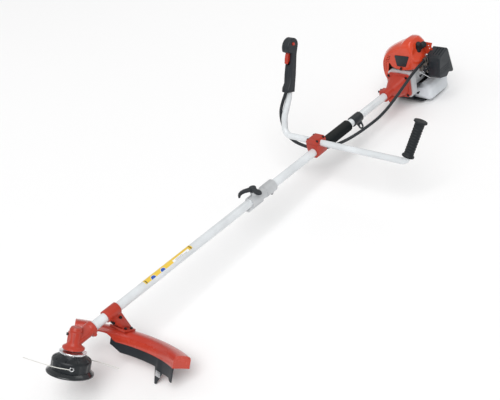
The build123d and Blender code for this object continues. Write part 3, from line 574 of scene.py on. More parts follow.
def outline_solid(name, corners, low, high):
    """An outline in millimetres extruded from one height to another."""
    piece = chain(name, [(x, y, low) for x, y in corners], closed=True)
    bpy.ops.mesh.extrude_region_move(TRANSFORM_OT_translate={"value": (0, 0, (high - low) * MM)})
    return tidy_faces(piece)


# Outlines are drawn flat and then laid across the shaft or along its side.
lay_across = Matrix(((1, 0, 0, 0), (0, 0, -1, 0), (0, 1, 0, 0), (0, 0, 0, 1)))
lay_sideways = Matrix(((0, 0, 1, 0), (1, 0, 0, 0), (0, 1, 0, 0), (0, 0, 0, 1)))


def slab_across(name, corners, start, end, line=machine):
    """An outline in (x, z), from one station of the shaft to another."""
    return settle(outline_solid(name, corners, -end, -start), line @ lay_across)


def slab_sideways(name, corners, low, high, line=machine):
    """An outline in (y, z), from one x to another."""
    return settle(outline_solid(name, corners, low, high), line @ lay_sideways)


def slab_flat(name, corners, low, high, line=machine):
    """An outline in (x, y), from one z to another."""
    return settle(outline_solid(name, corners, low, high), line)


def bar_of(name, start, end, r, steps=32, tip=0.0, line=machine):
    """A round bar from one point to another, its far end chamfered by tip."""
    length = (Vector(end) - Vector(start)).length
    profile = [(0, 0), (r, 0), (r, length - tip), (r - tip, length), (0, length)]
    if not tip:
        profile.pop(3)
    piece = turned(name, profile, steps=steps)
    return settle(piece, along(start, Vector(end) - Vector(start), line=line))


def combine(piece, operation, others):
    for other in others:
        apply_modifier(piece, "BOOLEAN", operation=operation, object=other, solver="MANIFOLD")
        bpy.data.objects.remove(other)
    return piece


def cut(piece, *tools):
    return combine(piece, "DIFFERENCE", tools)


def weld(piece, *others):
    return combine(piece, "UNION", others)


def joined(piece, *others):
    """Loose pieces made into one piece without merging their faces."""
    deselect()
    for other in others:
        other.select_set(True)
    piece.select_set(True)
    bpy.context.view_layer.objects.active = piece
    bpy.ops.object.join()
    return piece


def ring_corners(r, count=24, x=0.0, y=0.0, stretch=1.0):
    return [(x + r * math.cos(2 * math.pi * k / count), y + stretch * r * math.sin(2 * math.pi * k / count))
            for k in range(count)]


def box_corners(width, depth, r=0.0, x=0.0, y=0.0, steps=5):
    """A rectangle about (x, y), with corners of radius r."""
    if not r:
        return [(x + a * width / 2, y + b * depth / 2) for a, b in ((1, 1), (-1, 1), (-1, -1), (1, -1))]
    corners = []
    for a, b, first in ((1, 1, 0), (-1, 1, 90), (-1, -1, 180), (1, -1, 270)):
        for k in range(steps + 1):
            angle = math.radians(first + 90 * k / steps)
            corners.append((x + a * (width / 2 - r) + r * math.cos(angle),
                            y + b * (depth / 2 - r) + r * math.sin(angle)))
    return corners


red_casting = finish("red_painted_casting", (0.43, 0.034, 0.016), 0.34, rub=(0.42, 0.40, 0.40),
                     rub_amount=0.10, dust=0.015, grain=420.0, depth=0.16, coat=0.12, specular=0.35)
spindle_place = along((0, 0, 0), (0, 0, 1), line=head_line)

barrel = turned("gear_head_casting", [
    (0, -20), (30.6, -20), (31, -19.4), (31, -16.2), (30.2, -15), (25, -11.5), (21.5, -8.5), (20, -5),
    (18.5, 0), (18.3, 27), (17.9, 27.6), (17.9, 29), (18.3, 29.6), (18.2, 33), (17.4, 35.6), (16.0, 36.8),
    (15.6, 38.4), (14.6, 40.6), (12.0, 41.6), (10.6, 41.6), (10.2, 41.0), (0, 41.0),
], steps=80)
settle(barrel, spindle_place)
arm = turned("arm", [
    (0, 0), (18.5, 0), (18.5, 53), (18.9, 54), (20, 55.5), (20, 67), (19.2, 68), (15.4, 68), (14.6, 67.2),
    (0, 67.2),
], steps=72)
settle(arm, along((0, 0, 0), (0, 1, 0)))
lug = bar_of("lug", (17.5, 58, -13), (4, 58, -19.5), 5.5)
weld(barrel, arm, lug)
for turn in (-52, -140):
    side = Matrix.Rotation(math.radians(turn), 4, "Z")
    rib = slab_flat("rib", box_corners(3.0, 2.2, x=19.0), -9.0, 27.0, line=head_line @ side)
    weld(barrel, rib)
recess = slab_flat("recess", box_corners(5, 11, 1.2, x=20.0), 3, 22,
                   line=head_line @ Matrix.Rotation(math.radians(-98), 4, "Z"))
cut(barrel, recess, bar_of("tube_room", (0, 42, 0), (0, 90, 0), 14.0, steps=64),
    bar_of("gear_room", (0, 4, 0), (0, 43, 0), 11.0),
    bar_of("spindle_room", (0, 0, -21), (0, 0, 30), 13.4, line=head_line))
slit = slab_across("slit", box_corners(1.6, 9, x=12, y=-17.5), 52, 69)
cut(barrel, slit)
rounded(barrel, 0.45, segments=2, angle=40)
paint_with(barrel, red_casting)
fit(barrel, "lower_unit", "gear_head_housing")


# ---------------------------------------------------------------- line head
# Black glass-filled nylon: a lobed top, side panels, a flared skirt with a bright rim and
# the bump knob below. Above it sits the turned steel flange that clamps it.
chrome = finish("polished_flange", (0.80, 0.81, 0.83), 0.20, rub=(0.35, 0.34, 0.33), rub_amount=0.15,
                dust=0.04, grain=1600.0, depth=0.03, metallic=1.0)
flange = turned("clamp_flange", [
    (6, -20.4), (12.4, -20.4), (13, -21), (13, -24.2), (14, -25), (27, -25), (28, -25.5), (30, -26.6),
    (36.6, -26.8), (37.6, -27.3), (38, -28), (38, -31.4), (37.4, -32.2), (35.4, -33), (35, -34.4),
    (34, -37), (6, -37),
], steps=96)
settle(flange, spindle_place)
scallops = [
    bar_of("scallop", around(41.5, 36 * k, -38), around(41.5, 36 * k, -30), 6.2, line=head_line)
    for k in range(10)
]
cut(flange, *scallops)
rounded(flange, 0.3, segments=2, angle=40)
paint_with(flange, chrome)
fit(flange, "trimmer_head", "head_adapter")

black_nylon = finish("black_nylon_moulding", (0.008, 0.011, 0.014), 0.36, rub=(0.07, 0.075, 0.08),
                     rub_amount=0.3, dust=0.01, grain=1300.0, depth=0.10, specular=0.38)
head = turned("line_head_shell", [
    (6, -37), (34, -37), (41, -40.5), (47, -43.5), (51.6, -46.4), (53.6, -48.2), (54.6, -50.4), (55, -53),
    (55, -78.6), (54.2, -80), (52, -80), (51.6, -79.4), (51.6, -53), (48, -50.4), (12, -49), (12, -58),
    (6, -58),
], steps=120)
settle(head, spindle_place)
lobes = [
    bar_of("lobe_room", around(44, 36 * k + 18, -36), around(52, 36 * k + 18, -47), 5.4, line=head_line)
    for k in range(10)
]
panels = [
    slab_flat("panel", box_corners(2.6, 17, x=55.6), -76, -54,
              line=head_line @ Matrix.Rotation(math.radians(a), 4, "Z"))
    for a in (-80, -112, -6, 20, 60, 100, 174, 200, 240)
]
cut(head, *lobes, *panels, *[
    bar_of("eyelet_room", around(40, a, line_height), around(60, a, line_height), 5.0, line=head_line)
    for a in (-37, 143)
])
rounded(head, 0.5, segments=2, angle=30)
paint_with(head, black_nylon)
fit(head, "trimmer_head", "head_housing")

skirt_rim = turned("head_skirt", [
    (51, -77), (55.2, -77), (56, -77.3), (58, -78.6), (62, -82.2), (65.2, -84.4), (66.2, -85.6),
    (66.5, -87.4), (66.2, -89.2), (65.0, -90), (48, -90), (47.4, -89.4), (46.6, -89.4), (46, -90),
    (34, -90), (33.2, -89.4), (33, -88.6), (33, -86.4), (33.6, -86), (48, -86),
], steps=120)
settle(skirt_rim, spindle_place)
rounded(skirt_rim, 0.3, segments=2, angle=40)
gloss_nylon = finish("gloss_nylon_rim", (0.008, 0.011, 0.014), 0.16, rub=(0.06, 0.065, 0.07),
                     rub_amount=0.3, dust=0.01, grain=700.0, depth=0.05, coat=0.3)
paint_with(skirt_rim, gloss_nylon)
fit(skirt_rim, "trimmer_head", "spool_cover")

knob = turned("bump_button", [
    (0, -83), (31.2, -83), (31.5, -83.6), (31.5, -94.6), (31.0, -96), (28.6, -98.8), (26.4, -101.6),
    (24.6, -103.2), (21, -104.4), (16, -105.4), (12, -105.9), (9, -106), (8.4, -105.4),
    (7, -104.9), (0, -104.9),
], steps=90)
settle(knob, spindle_place)
cut(knob, *[
    bar_of("groove", around(31.5, 45 * k, -104.2), around(15, 45 * k, -108.0), 1.6, line=head_line)
    for k in range(8)
])
rounded(knob, 0.4, segments=2, angle=34)
paint_with(knob, black_nylon)
fit(knob, "bump_feed", "bump_knob")


# ---------------------------------------------------------------- line eyelets
# Bright stamped-steel ferrules that guard the two holes where the line leaves the head,
# each a bent plate with a round lip.
bright_steel = finish("bright_steel", (0.62, 0.63, 0.65), 0.24, rub=(0.35, 0.35, 0.35), rub_amount=0.2,
                      dust=0.02, grain=900.0, depth=0.05, metallic=1.0)
eyelets = []
for a in (-37, 143):
    lip = turned("lip", [
        (3.0, 51.5), (5.0, 51.5), (5.0, 54.8), (6.3, 55.1), (6.5, 55.7), (6.4, 56.6), (5.7, 57.0),
        (4.0, 56.9), (3.2, 56.2), (3.0, 55.4),
    ], steps=40)
    out = Matrix.Rotation(math.radians(a), 4, "Z") @ Matrix.Translation((0, 0, line_height * MM))
    settle(lip, head_line @ out @ Matrix.Rotation(math.radians(90), 4, "Y"))
    eyelets.append(lip)
    slot_cut = head_line @ Matrix.Rotation(math.radians(a), 4, "Z")
    cut(lip, slab_flat("mouth", box_corners(9, 4.4, x=57.5), line_height + 2.0, line_height + 9,
                       line=slot_cut))
ferrules = joined(*eyelets)
ferrules.name = "line_ferrules"
rounded(ferrules, 0.15, segments=2, angle=40)
paint_with(ferrules, bright_steel)
fit(ferrules, "trimmer_head", "line_eyelets")


# ---------------------------------------------------------------- guard
# A glossy red injection-moulded hood about the rear of the head, with a ridge along its
# front, a crowned top and an open channel for its right wing.
red_moulding = finish("red_moulded_plastic", (0.46, 0.028, 0.011), 0.26, rub=(0.78, 0.18, 0.12),
                      rub_amount=0.25, dust=0.015, grain=160.0, depth=0.03, coat=0.3, specular=0.4)
guard_middle = Vector((124.0, -123.0, 0.0))
guard_low_angle, guard_high_angle = 67.0, 138.0


def swept_band(name, profile, first, last, steps=90):
    """A closed profile of (radius, height), carried round the guard's centre."""
    piece = chain(name, [(r, 0, z) for r, z in profile] + [(profile[0][0], 0, profile[0][1])])
    bpy.ops.mesh.spin(steps=steps, angle=-math.radians(last - first), center=(0, 0, 0), axis=(0, 0, 1))
    bpy.ops.mesh.select_all(action="SELECT")
    bpy.ops.mesh.remove_doubles(threshold=0.00001)
    bpy.ops.mesh.select_all(action="DESELECT")
    bpy.ops.mesh.select_non_manifold()
    bpy.ops.mesh.edge_face_add()
    bpy.ops.object.mode_set(mode="OBJECT")
    tidy_faces(piece)
    place = Matrix.Translation(guard_middle * MM) @ Matrix.Rotation(math.radians(first), 4, "Z")
    return settle(piece, head_line @ place)


hood = swept_band("guard_hood", [
    (295.0, -16), (295.0, 3), (295.6, 6), (301.5, 16.2), (303.5, 18.2), (307, 19.4), (320, 20), (334, 18.6),
    (340, 16.6), (343.4, 13.4), (345.0, 8), (345.0, -16), (342.5, -16), (342.5, 7.6), (341.2, 11.8),
    (338.4, 14.4), (333, 16.2), (320, 17.5), (307.6, 17), (305, 16), (303.4, 14.4), (298.2, 5.2),
    (297.5, 2.6), (297.5, -16),
], guard_low_angle, guard_high_angle)
far = 400.0
under_wing = settle(outline_solid("under_wing", [
    (-far, -60), (-far, 3), (-30, 3), (-22, 2), (-12, -4), (-3, -12), (5, -16.02), (5, -60),
], -far, far), head_line @ lay_across)
cut(hood, under_wing)
for low, high, first, last in ((296.5, 343.0, 66.99, 67.45), (296.5, 343.0, 137.55, 138.01)):
    wall = swept_band("end_wall", [
        (low, -16), (low, 5), (303, 17.6), (333, 17.6), (high, 9), (high, -16),
    ], first, last, steps=2)
    if last > 138:
        cut(wall, settle(outline_solid("trim", [(-far, -60), (-far, 3), (-25, 3), (5, -60)], -far, far),
                         head_line @ lay_across))
    weld(hood, wall)
rounded(hood, 0.6, segments=2, angle=34)
paint_with(hood, red_moulding)
fit(hood, "lower_unit", "guard")


# ---------------------------------------------------------------- guard skirt and line cutter
# A black flexible extension clipped under the hood's front edge. At its left end it drops
# into a leg with a V-shaped notch, where a small steel blade trims the line.
skirt = refined("guard_skirt", "guard_skirt_moulding", width=0.7)
black_moulding = finish("black_moulded_plastic", (0.012, 0.016, 0.021), 0.40, rub=(0.07, 0.075, 0.085),
                        rub_amount=0.35, dust=0.02, grain=1500.0, depth=0.14, specular=0.4)
paint_with(skirt, black_moulding)
fit(skirt, "lower_unit", "guard_skirt")
blade = refined("line_cutter", "line_cutter_blade", width=0.3)
paint_with(blade, bright_steel)
fit(blade, "lower_unit", "line_cutter")


# ---------------------------------------------------------------- guard bracket
# A red-painted cast saddle clamped round the lower tube with two side screws, whose web
# runs down to a flat pad screwed on the hood.
bracket = refined("guard_bracket", "guard_saddle", width=1.2)
paint_with(bracket, red_casting)
fit(bracket, "lower_unit", "guard_bracket")


# ---------------------------------------------------------------- screws
# Black-oxide socket cap screws, all one size. Each is turned and given its hexagon.
screw_r = 2.5
black_oxide = finish("black_oxide", (0.014, 0.015, 0.018), 0.28, rub=(0.20, 0.20, 0.20), rub_amount=0.4,
                     dust=0.01, grain=900.0, depth=0.05, metallic=0.6)


def cap_screw(name, seat, direction, shank, line=machine):
    head_r, head_h = 1.7 * screw_r, 2.0 * screw_r
    screw = turned(name, [
        (0, -shank), (screw_r - 0.4, -shank), (screw_r, -shank + 0.5), (screw_r, 0), (head_r - 0.3, 0),
        (head_r, 0.3), (head_r, head_h - 0.6), (head_r - 0.6, head_h), (0, head_h),
    ], steps=36)
    socket = outline_solid("hexagon", ring_corners(2.3, count=6), head_h - 2.6, head_h + 1)
    cut(screw, socket)
    rounded(screw, 0.12, segments=2, angle=40)
    return settle(screw, along(seat, -Vector(direction), line=line))


guard_clamp_turn = -140
guard_clamp_inward = (-math.cos(math.radians(guard_clamp_turn)), -math.sin(math.radians(guard_clamp_turn)), 0)
lower_screws = [
    cap_screw("screw", around(19.5, guard_clamp_turn, 18), guard_clamp_inward, 6.0, line=head_line),
    cap_screw("screw", (15, 124, -22), (-1, 0, 0), 9.0),
    cap_screw("screw", (15, 152, -22), (-1, 0, 0), 9.0),
]
for x in (-24, 24):
    for y in (160, 182):
        lower_screws.append(cap_screw("screw", (x, y, 26), (0, 0, -1), 8.5, line=head_line))
lower_set = joined(*lower_screws)
lower_set.name = "lower_cap_screws"
paint_with(lower_set, black_oxide)
fit(lower_set, "lower_unit", "lower_screws")

upper_screws = [cap_screw("screw", (0, 850, -24), (0, 0, 1), 9.5)]
upper_screws += [cap_screw("screw", (x, s, 41), (0, 0, -1), 24.0)
                 for x in (-19.5, 19.5) for s in (1087, 1121)]
upper_screws += [cap_screw("screw", (-23.5, s, 12), (1, 0, 0), 12.0) for s in (1513, 1527)]
upper_screws += [cap_screw("screw", (x, 1600, z), (0, 1, 0), 22.0) for x in (-38, 38) for z in (-35, 35)]
upper_set = joined(*upper_screws)
upper_set.name = "upper_cap_screws"
paint_with(upper_set, black_oxide)
fit(upper_set, "power_unit", "upper_screws")


# ---------------------------------------------------------------- shaft coupling
# A light grey sand-cast aluminium sleeve, split on top at its front, which takes the two
# tubes. A plate under it locates the lower tube.
cast_grey = finish("sand_cast_aluminium", (0.55, 0.565, 0.58), 0.46, rub=(0.66, 0.66, 0.67), rub_amount=0.4,
                   dust=0.03, grain=950.0, depth=0.42, metallic=0.3)
coupling = refined("coupling_body", "coupling_casting", width=1.1)
cut(coupling, slab_across("split", box_corners(2.4, 24, y=24), 735, 800))
rounded(coupling, 0.3, segments=1, angle=50)
paint_with(coupling, cast_grey)
fit(coupling, "power_unit", "coupling_body")


# ---------------------------------------------------------------- coupling knob
# A black moulded wing knob. One long wing hooks forward like a claw, the other is a short
# lobe, and a steel stud runs down from its hub.
wing_outline = [
    (-2, -9), (14, -9), (28, -10), (40, -6), (49, 3), (54, 13), (56, 21), (53, 23.5), (49, 21), (45, 12),
    (38, 7), (28, 5), (16, 8), (-2, 9),
]
lobe_outline = [
    (-2, -9), (12, -9), (24, -11), (36, -11), (45, -7), (49.5, -1), (48, 4), (42, 8), (34, 9), (24, 7),
    (12, 8), (-2, 9),
]


def wing(name, corners, turn):
    piece = outline_solid(name, corners, 33.6, 42.4)
    apply_modifier(piece, "BEVEL", width=2.8 * MM, segments=4, limit_method="ANGLE",
                   angle_limit=math.radians(50))
    side = Matrix.Translation((0, 772 * MM, 0)) @ Matrix.Rotation(math.radians(turn), 4, "Z")
    return settle(piece, machine @ side)


hub = turned("coupling_knob_moulding", [
    (0, 15), (3, 15), (3, 28.4), (8.6, 28.4), (9, 28.8), (9.6, 31), (11.5, 33.4), (12.5, 36), (12.5, 41),
    (11.4, 43.8), (8.4, 45.2), (5, 45.4), (4.4, 44.6), (0, 44.6),
], steps=64)
settle(hub, machine @ Matrix.Translation((0, 772 * MM, 0)))
weld(hub, wing("long_wing", wing_outline, -120), wing("short_wing", lobe_outline, -16))
rounded(hub, 0.9, segments=3, angle=40)
paint_with(hub, black_moulding)
fit(hub, "coupling_knob", "coupling_knob")


# ---------------------------------------------------------------- handlebar and its clamp
# A 22 mm aluminium tube in the same white paint, bent up at both ends, and held on the
# shaft by a two-part red clamp with four screws.
bar = refined("handlebar", "handlebar_tube", width=0, angle=40)
bpy.ops.object.shade_smooth_by_angle(angle=math.radians(40))
paint_with(bar, white_paint)
fit(bar, "power_unit", "handlebar")
for node in ("bar_clamp_base", "bar_clamp_cap"):
    half = refined(node, f"{node}_casting", width=1.5)
    paint_with(half, red_casting)
    fit(half, "power_unit", node)


# ---------------------------------------------------------------- left grip
# A black rubber sleeve with ten rounded rings and a collar at each end, pushed on the bar.
soft_rubber = finish("soft_black_rubber", (0.010, 0.013, 0.016), 0.58, rub=(0.05, 0.055, 0.06),
                     rub_amount=0.4, dust=0.03, grain=2200.0, depth=0.30, specular=0.3)
left_corner, grip_tip = Vector((360, 1104, 30)), Vector((396, 1160, 153.5))
grip_line = (grip_tip - left_corner).normalized()
grip_foot = left_corner + grip_line * 17
grip_length = (grip_tip - grip_foot).length
grip_profile = [(11, 0.4), (11.4, 0), (19.2, 0), (20, 0.8), (20, 5.2), (19.2, 6), (17.2, 7.2), (16, 9.4)]
for k in range(10):
    z = 14 + 9 * k
    grip_profile += [(16, z - 0.6), (15.6, z + 0.4), (14.6, z + 1.3), (14.4, z + 2.2), (14.6, z + 3.1),
                     (15.6, z + 4.1), (16, z + 5.1)]
grip_profile += [(16, grip_length - 10), (18, grip_length - 7.6), (21.2, grip_length - 6.4),
                 (22, grip_length - 5.4), (22, grip_length - 1.4), (21, grip_length), (4, grip_length),
                 (3, grip_length - 0.8), (0, grip_length - 0.8), (0, grip_length - 5), (11, grip_length - 5)]
grip = turned("left_grip_sleeve", grip_profile, steps=64)
settle(grip, along(grip_foot, grip_line))
rounded(grip, 0.2, segments=2, angle=40)
paint_with(grip, soft_rubber)
fit(grip, "power_unit", "left_grip")


# ---------------------------------------------------------------- throttle handle
# Two black glass-filled nylon shells screwed together on the bar's right end, with a
# hooked head, a fine moulded texture and a parting line down the middle.
handle_up = Vector((0, 60, 166)).normalized()
handle_across = Vector((1, 0, 0))
handle_place = Matrix((handle_across, handle_up.cross(handle_across), handle_up)).transposed().to_4x4()
handle_place.translation = Vector((-132, 1160, 169)) * MM
handle_line = machine @ handle_place
for side in ("left", "right"):
    shell = refined(f"handle_shell_{side}", f"handle_shell_{side}_moulding", width=0.9, angle=35)
    paint_with(shell, black_moulding)
    fit(shell, "power_unit", f"handle_shell_{side}")


# ---------------------------------------------------------------- handle controls
# The red throttle trigger with finger ridges, the black palm lock, the red stop slide and
# the small red half-throttle button.
trigger_outline = [
    (-10, 150), (-2, 150), (0, 142), (-4, 124), (-12, 106), (-19, 97), (-22.5, 97.4), (-24, 99), (-25.0, 103),
    (-24.0, 106), (-25.0, 109), (-24.2, 112), (-25.0, 115), (-23.6, 118), (-24.4, 121), (-22.9, 124),
    (-23.4, 127), (-21.6, 130), (-21.0, 133), (-18.6, 136), (-15, 140),
]
trigger = slab_sideways("throttle_trigger_moulding", trigger_outline, -5, 5, line=handle_line)
cut(trigger, bar_of("pin_room", (-9, -6, 146), (9, -6, 146), 2.05, line=handle_line))
rounded(trigger, 0.9, segments=3, angle=34)
paint_with(trigger, red_moulding)
fit(trigger, "throttle_trigger", "throttle_trigger")
for node, material, width in (("lock_lever", black_moulding, 0.9), ("stop_switch", red_moulding, 0.7),
                              ("half_throttle_button", red_moulding, 0.7)):
    piece = refined(node, f"{node}_moulding", width=width)
    paint_with(piece, material)
    fit(piece, node, node)


# ---------------------------------------------------------------- foam grip and hanger
# A closed-cell foam sleeve on the upper tube, and behind it the black hanger ring with
# the eye for the shoulder harness.
def make_foam():
    material = finish("black_foam", (0.006, 0.009, 0.010), 0.86, rub=(0.035, 0.037, 0.04), rub_amount=0.5,
                      dust=0.03, grain=700.0, depth=0.4, specular=0.2)
    tree = material.node_tree
    place = tree.nodes.new("ShaderNodeTexCoord")
    cells = tree.nodes.new("ShaderNodeTexVoronoi")
    cells.inputs["Scale"].default_value = 620.0
    bump = tree.nodes.new("ShaderNodeBump")
    bump.inputs["Strength"].default_value = 0.6
    bump.inputs["Distance"].default_value = 0.0006
    tree.links.new(place.outputs["Object"], cells.inputs["Vector"])
    tree.links.new(cells.outputs["Distance"], bump.inputs["Height"])
    tree.links.new(tree.nodes["surface"].outputs["Normal"], bump.inputs["Normal"])
    tree.links.new(bump.outputs["Normal"], tree.nodes["Principled BSDF"].inputs["Normal"])
    return material


foam = turned("foam_sleeve", [
    (14, 1141), (15, 1140), (18.4, 1140), (19.8, 1140.8), (20.5, 1142.6), (20.5, 1277.4), (19.8, 1279.2),
    (18.4, 1280), (15, 1280), (14, 1279),
], steps=80)
settle(foam, along((0, 0, 0), (0, 1, 0)))
rounded(foam, 0.5, segments=2, angle=40)
paint_with(foam, make_foam())
fit(foam, "power_unit", "foam_grip")
hanger = refined("harness_hanger", "hanger_ring", width=0.8)
paint_with(hanger, black_moulding)
fit(hanger, "power_unit", "harness_hanger")


# ---------------------------------------------------------------- clutch housing
# A red-painted cast bell: a neck split and clamped on the upper tube by two screws, ribs
# below, and a square flange with four screws to the crankcase.
clutch = refined("clutch_housing", "clutch_bell_casting", width=1.6, angle=24)
for x in (-14, 14):
    web = slab_sideways("web", [(1552, -26), (1598, -44), (1598, -30), (1552, -18)], x - 1.5, x + 1.5)
    weld(clutch, web)
cut(clutch, slab_across("neck_split", box_corners(24, 1.6, x=-24, y=4.4), 1504, 1536))
rounded(clutch, 0.4, segments=2, angle=45)
paint_with(clutch, red_casting)
fit(clutch, "power_unit", "clutch_housing")


# ---------------------------------------------------------------- crankcase and cylinder
# Bare die-cast aluminium: the crankcase with its front plate and screw bosses, and the
# cylinder with nine cooling fins and its two ports.
case = refined("crankcase", "crankcase_casting", width=1.4)
bosses = []
for x, z in ((44, 40), (44, -40), (-44, 40), (-44, -40)):
    boss = bar_of("boss", (x, 1612.2, z), (x, 1641.6, z), 5.2)
    bosses.append(boss)
weld(case, *bosses)
cut(case, bar_of("bore_room", (0, 1678, 8), (0, 1678, 50), 20.5, steps=64))
paint_with(case, cast_grey)
fit(case, "power_unit", "crankcase")
barrel_fins = refined("cylinder", "finned_cylinder", width=0.5)
paint_with(barrel_fins, cast_grey)
fit(barrel_fins, "power_unit", "cylinder")


# ---------------------------------------------------------------- engine cover
# A glossy red moulded shroud over the cylinder and muffler: a crowned shell that rises to
# a hump by the spark plug, with vent slits, a field of cooling holes and a blank badge.
cover_profile = [
    (-58, 20), (-62, -10), (-78, -16), (-95, -14), (-104, 6), (-106, 50), (-97, 88), (-75, 112),
    (-38, 134), (5, 153), (13, 158), (21, 167), (40, 168.5), (55, 168), (60, 166), (79, 150), (85, 134),
    (85, 116), (82, 96), (78, 74), (72, 40),
]


def cover_loop(station, lean, scale, left=1.0, right=1.0):
    """One section of the shroud: lean draws its top right in towards the back, and left
    and right draw in its two flanks towards the front."""
    drawn = [(-90 + lean * (x + 90), 64 + lean * (z - 64)) for x, z in cover_profile]
    cx, cz = -90 + lean * 76, 64 + lean * 20
    loop = []
    for x, z in drawn:
        x, z = cx + scale * (x - cx), cz + scale * (z - cz)
        if x < -36:
            x = -36 + left * (x + 36)
        if x > 46 and z > 100:
            x = 46 + right * (x - 46)
        loop.append((x, station, z))
    return loop


def lofted(name, loops, cap_first=True):
    """Closed loops of points bridged one to the next; the first may be closed by a face."""
    piece = None
    for points in loops:
        loop = chain("loop", points)
        bpy.ops.mesh.select_all(action="DESELECT")
        bpy.ops.object.mode_set(mode="OBJECT")
        mesh = loop.data
        mesh.edges.add(1)
        mesh.edges[-1].vertices = (0, len(points) - 1)
        mesh.update()
        piece = joined(piece, loop) if piece else loop
    piece.name = name
    only(piece)
    count = len(loops[0])
    bpy.ops.object.mode_set(mode="EDIT")
    bpy.ops.mesh.select_all(action="SELECT")
    bpy.ops.mesh.bridge_edge_loops()
    if cap_first:
        bpy.ops.mesh.select_all(action="DESELECT")
        bpy.ops.object.mode_set(mode="OBJECT")
        for vertex in piece.data.vertices[:count]:
            vertex.select = True
        bpy.ops.object.mode_set(mode="EDIT")
        bpy.ops.mesh.select_mode(type="VERT")
        bpy.ops.mesh.edge_face_add()
    bpy.ops.mesh.select_all(action="SELECT")
    bpy.ops.mesh.normals_make_consistent(inside=False)
    bpy.ops.object.mode_set(mode="OBJECT")
    return piece


cover = lofted("engine_shroud", [cover_loop(*section) for section in (
    (1622.5, 1, 0.20), (1622.2, 1, 0.62), (1623.4, 1, 0.73, 0.95, 0.9), (1630, 1, 0.85, 0.78, 0.5),
    (1642, 1, 0.95, 0.80, 0.35), (1656, 1, 0.99, 0.90, 0.35), (1672, 0.99, 1.0, 0.97, 0.45),
    (1692, 0.96, 1.0, 1.0, 0.9), (1712, 0.87, 1.0), (1733, 0.775, 0.99), (1736, 0.76, 0.985),
)])
apply_modifier(cover, "SUBSURF", levels=2, render_levels=2)
settle(cover, machine)
apply_modifier(cover, "SOLIDIFY", thickness=2.6 * MM, offset=-1.0)
vents = [
    slab_across("slit", box_corners(14, 2.6, 1.2, x=-52 + 3 * k, y=80 + 7 * k), 1600, 1662)
    for k in range(4)
]
holes = [
    bar_of("hole", (-130, 1676 + 11 * column, 2 + 11 * row + 3 * (column % 2)),
           (-92, 1676 + 11 * column, 2 + 11 * row + 3 * (column % 2)), 2.6, steps=20)
    for column in range(3) for row in range(7)
]
holes += [
    bar_of("hole", (-55 - 8 * column - row, 1600, 88 - 7.4 * row - 3.6 * column),
           (-61 - 8 * column - row, 1668, 84 - 7.4 * row - 3.6 * column), 1.9, steps=16)
    for column in range(2) for row in range(7)
]
cap_room = bar_of("cap_room", (28, 1679, 126), (70, 1664, 134), 15.0)
plug_room = bar_of("cap_room", (56, 1672, 131), (104, 1663, 146), 11.5)
front_edge = [(-66, -54), (140, -54), (140, 100), (84, 73), (60, 61), (44, 55), (8, 51), (-22, 55), (-36, 62),
              (-44, 74), (-48, 74), (-50, 60), (-58, 20), (-66, 0)]
cut(cover, slab_across("case_room", front_edge, 1600, 1656),
    slab_across("case_room", box_corners(122, 108, x=-5), 1650, 1760),
    slab_across("case_room", box_corners(90, 104, x=100), 1640, 1760),
    slab_sideways("intake_room", [(1656, 34), (1700, 34), (1700, 90), (1656, 90)], 36, 96),
    cap_room, plug_room, *vents, joined(*holes))
wing_plate = slab_across("intake_shield", [(60, 94), (104, 97), (105, 104), (99, 126), (104, 139), (103, 141),
                                           (76, 142)], 1689, 1691.4)
shield_holes = [bar_of("hole", (x, 1680, z), (x, 1700, z), 2.3, steps=16)
                for x, z in ((88, 129), (91, 118.5), (94, 109), (97, 99.5))]
cut(wing_plate, joined(*shield_holes))
cover = joined(cover, wing_plate)
only(cover)
bpy.ops.object.shade_smooth_by_angle(angle=math.radians(34))
bright_red = finish("bright_red_shroud", (0.63, 0.055, 0.018), 0.22, rub=(0.74, 0.16, 0.11), rub_amount=0.25,
                    dust=0.01, grain=160.0, depth=0.03, coat=0.35, specular=0.4)
paint_with(cover, bright_red)
fit(cover, "power_unit", "engine_cover")
cover_screws = joined(*[
    cap_screw("screw", seat, (0, 1, 0), 8.0)
    for seat in ((6, 1621.6, 59), (-76, 1648, 20), (94, 1612.5, 47), (74, 1612.5, -25))
])
cover_screws.name = "cover_and_case_screws"
paint_with(cover_screws, black_oxide)
fit(cover_screws, "power_unit", slot="black_screw")


# ---------------------------------------------------------------- badge
# A dark moulded badge, blank, set on the front of the shroud.
badge = slab_across("shroud_badge", [
    (-14, 109), (42, 110.5), (44, 107), (27, 69.5), (24, 67), (-9, 66), (-12, 68), (-17, 106),
], 1620.4, 1624.5)
rounded(badge, 0.8, segments=3, angle=30)
paint_with(badge, black_moulding)
fit(badge, "power_unit", slot="black_plastic")


# ---------------------------------------------------------------- spark plug and its cap
# A steel-bodied plug screwed into the head, under a soft black rubber cap: a boot that
# bends to the left, a lobe to pull it by and a longer one for the lead.
plug_cap = bar_of("spark_plug_boot", (29.5, 1678, 127.5), (38, 1678, 136), 12.3, tip=2.5)
weld(plug_cap, bar_of("elbow", (36, 1678, 134), (66, 1667, 132), 13.0, tip=4.0),
     bar_of("pull_lobe", (60, 1669, 126), (63, 1662, 150), 10.5, tip=4.0),
     bar_of("lead_lobe", (58, 1671, 126), (89, 1666, 148), 11.5, tip=4.0),
     bar_of("toe", (62, 1668, 136), (57, 1663, 110), 10.5, tip=5.0))
apply_modifier(plug_cap, "REMESH", mode="VOXEL", voxel_size=1.1 * MM)
apply_modifier(plug_cap, "SMOOTH", factor=0.5, iterations=12)
only(plug_cap)
bpy.ops.object.shade_smooth()
paint_with(plug_cap, soft_rubber)
fit(plug_cap, "power_unit", "plug_cap")


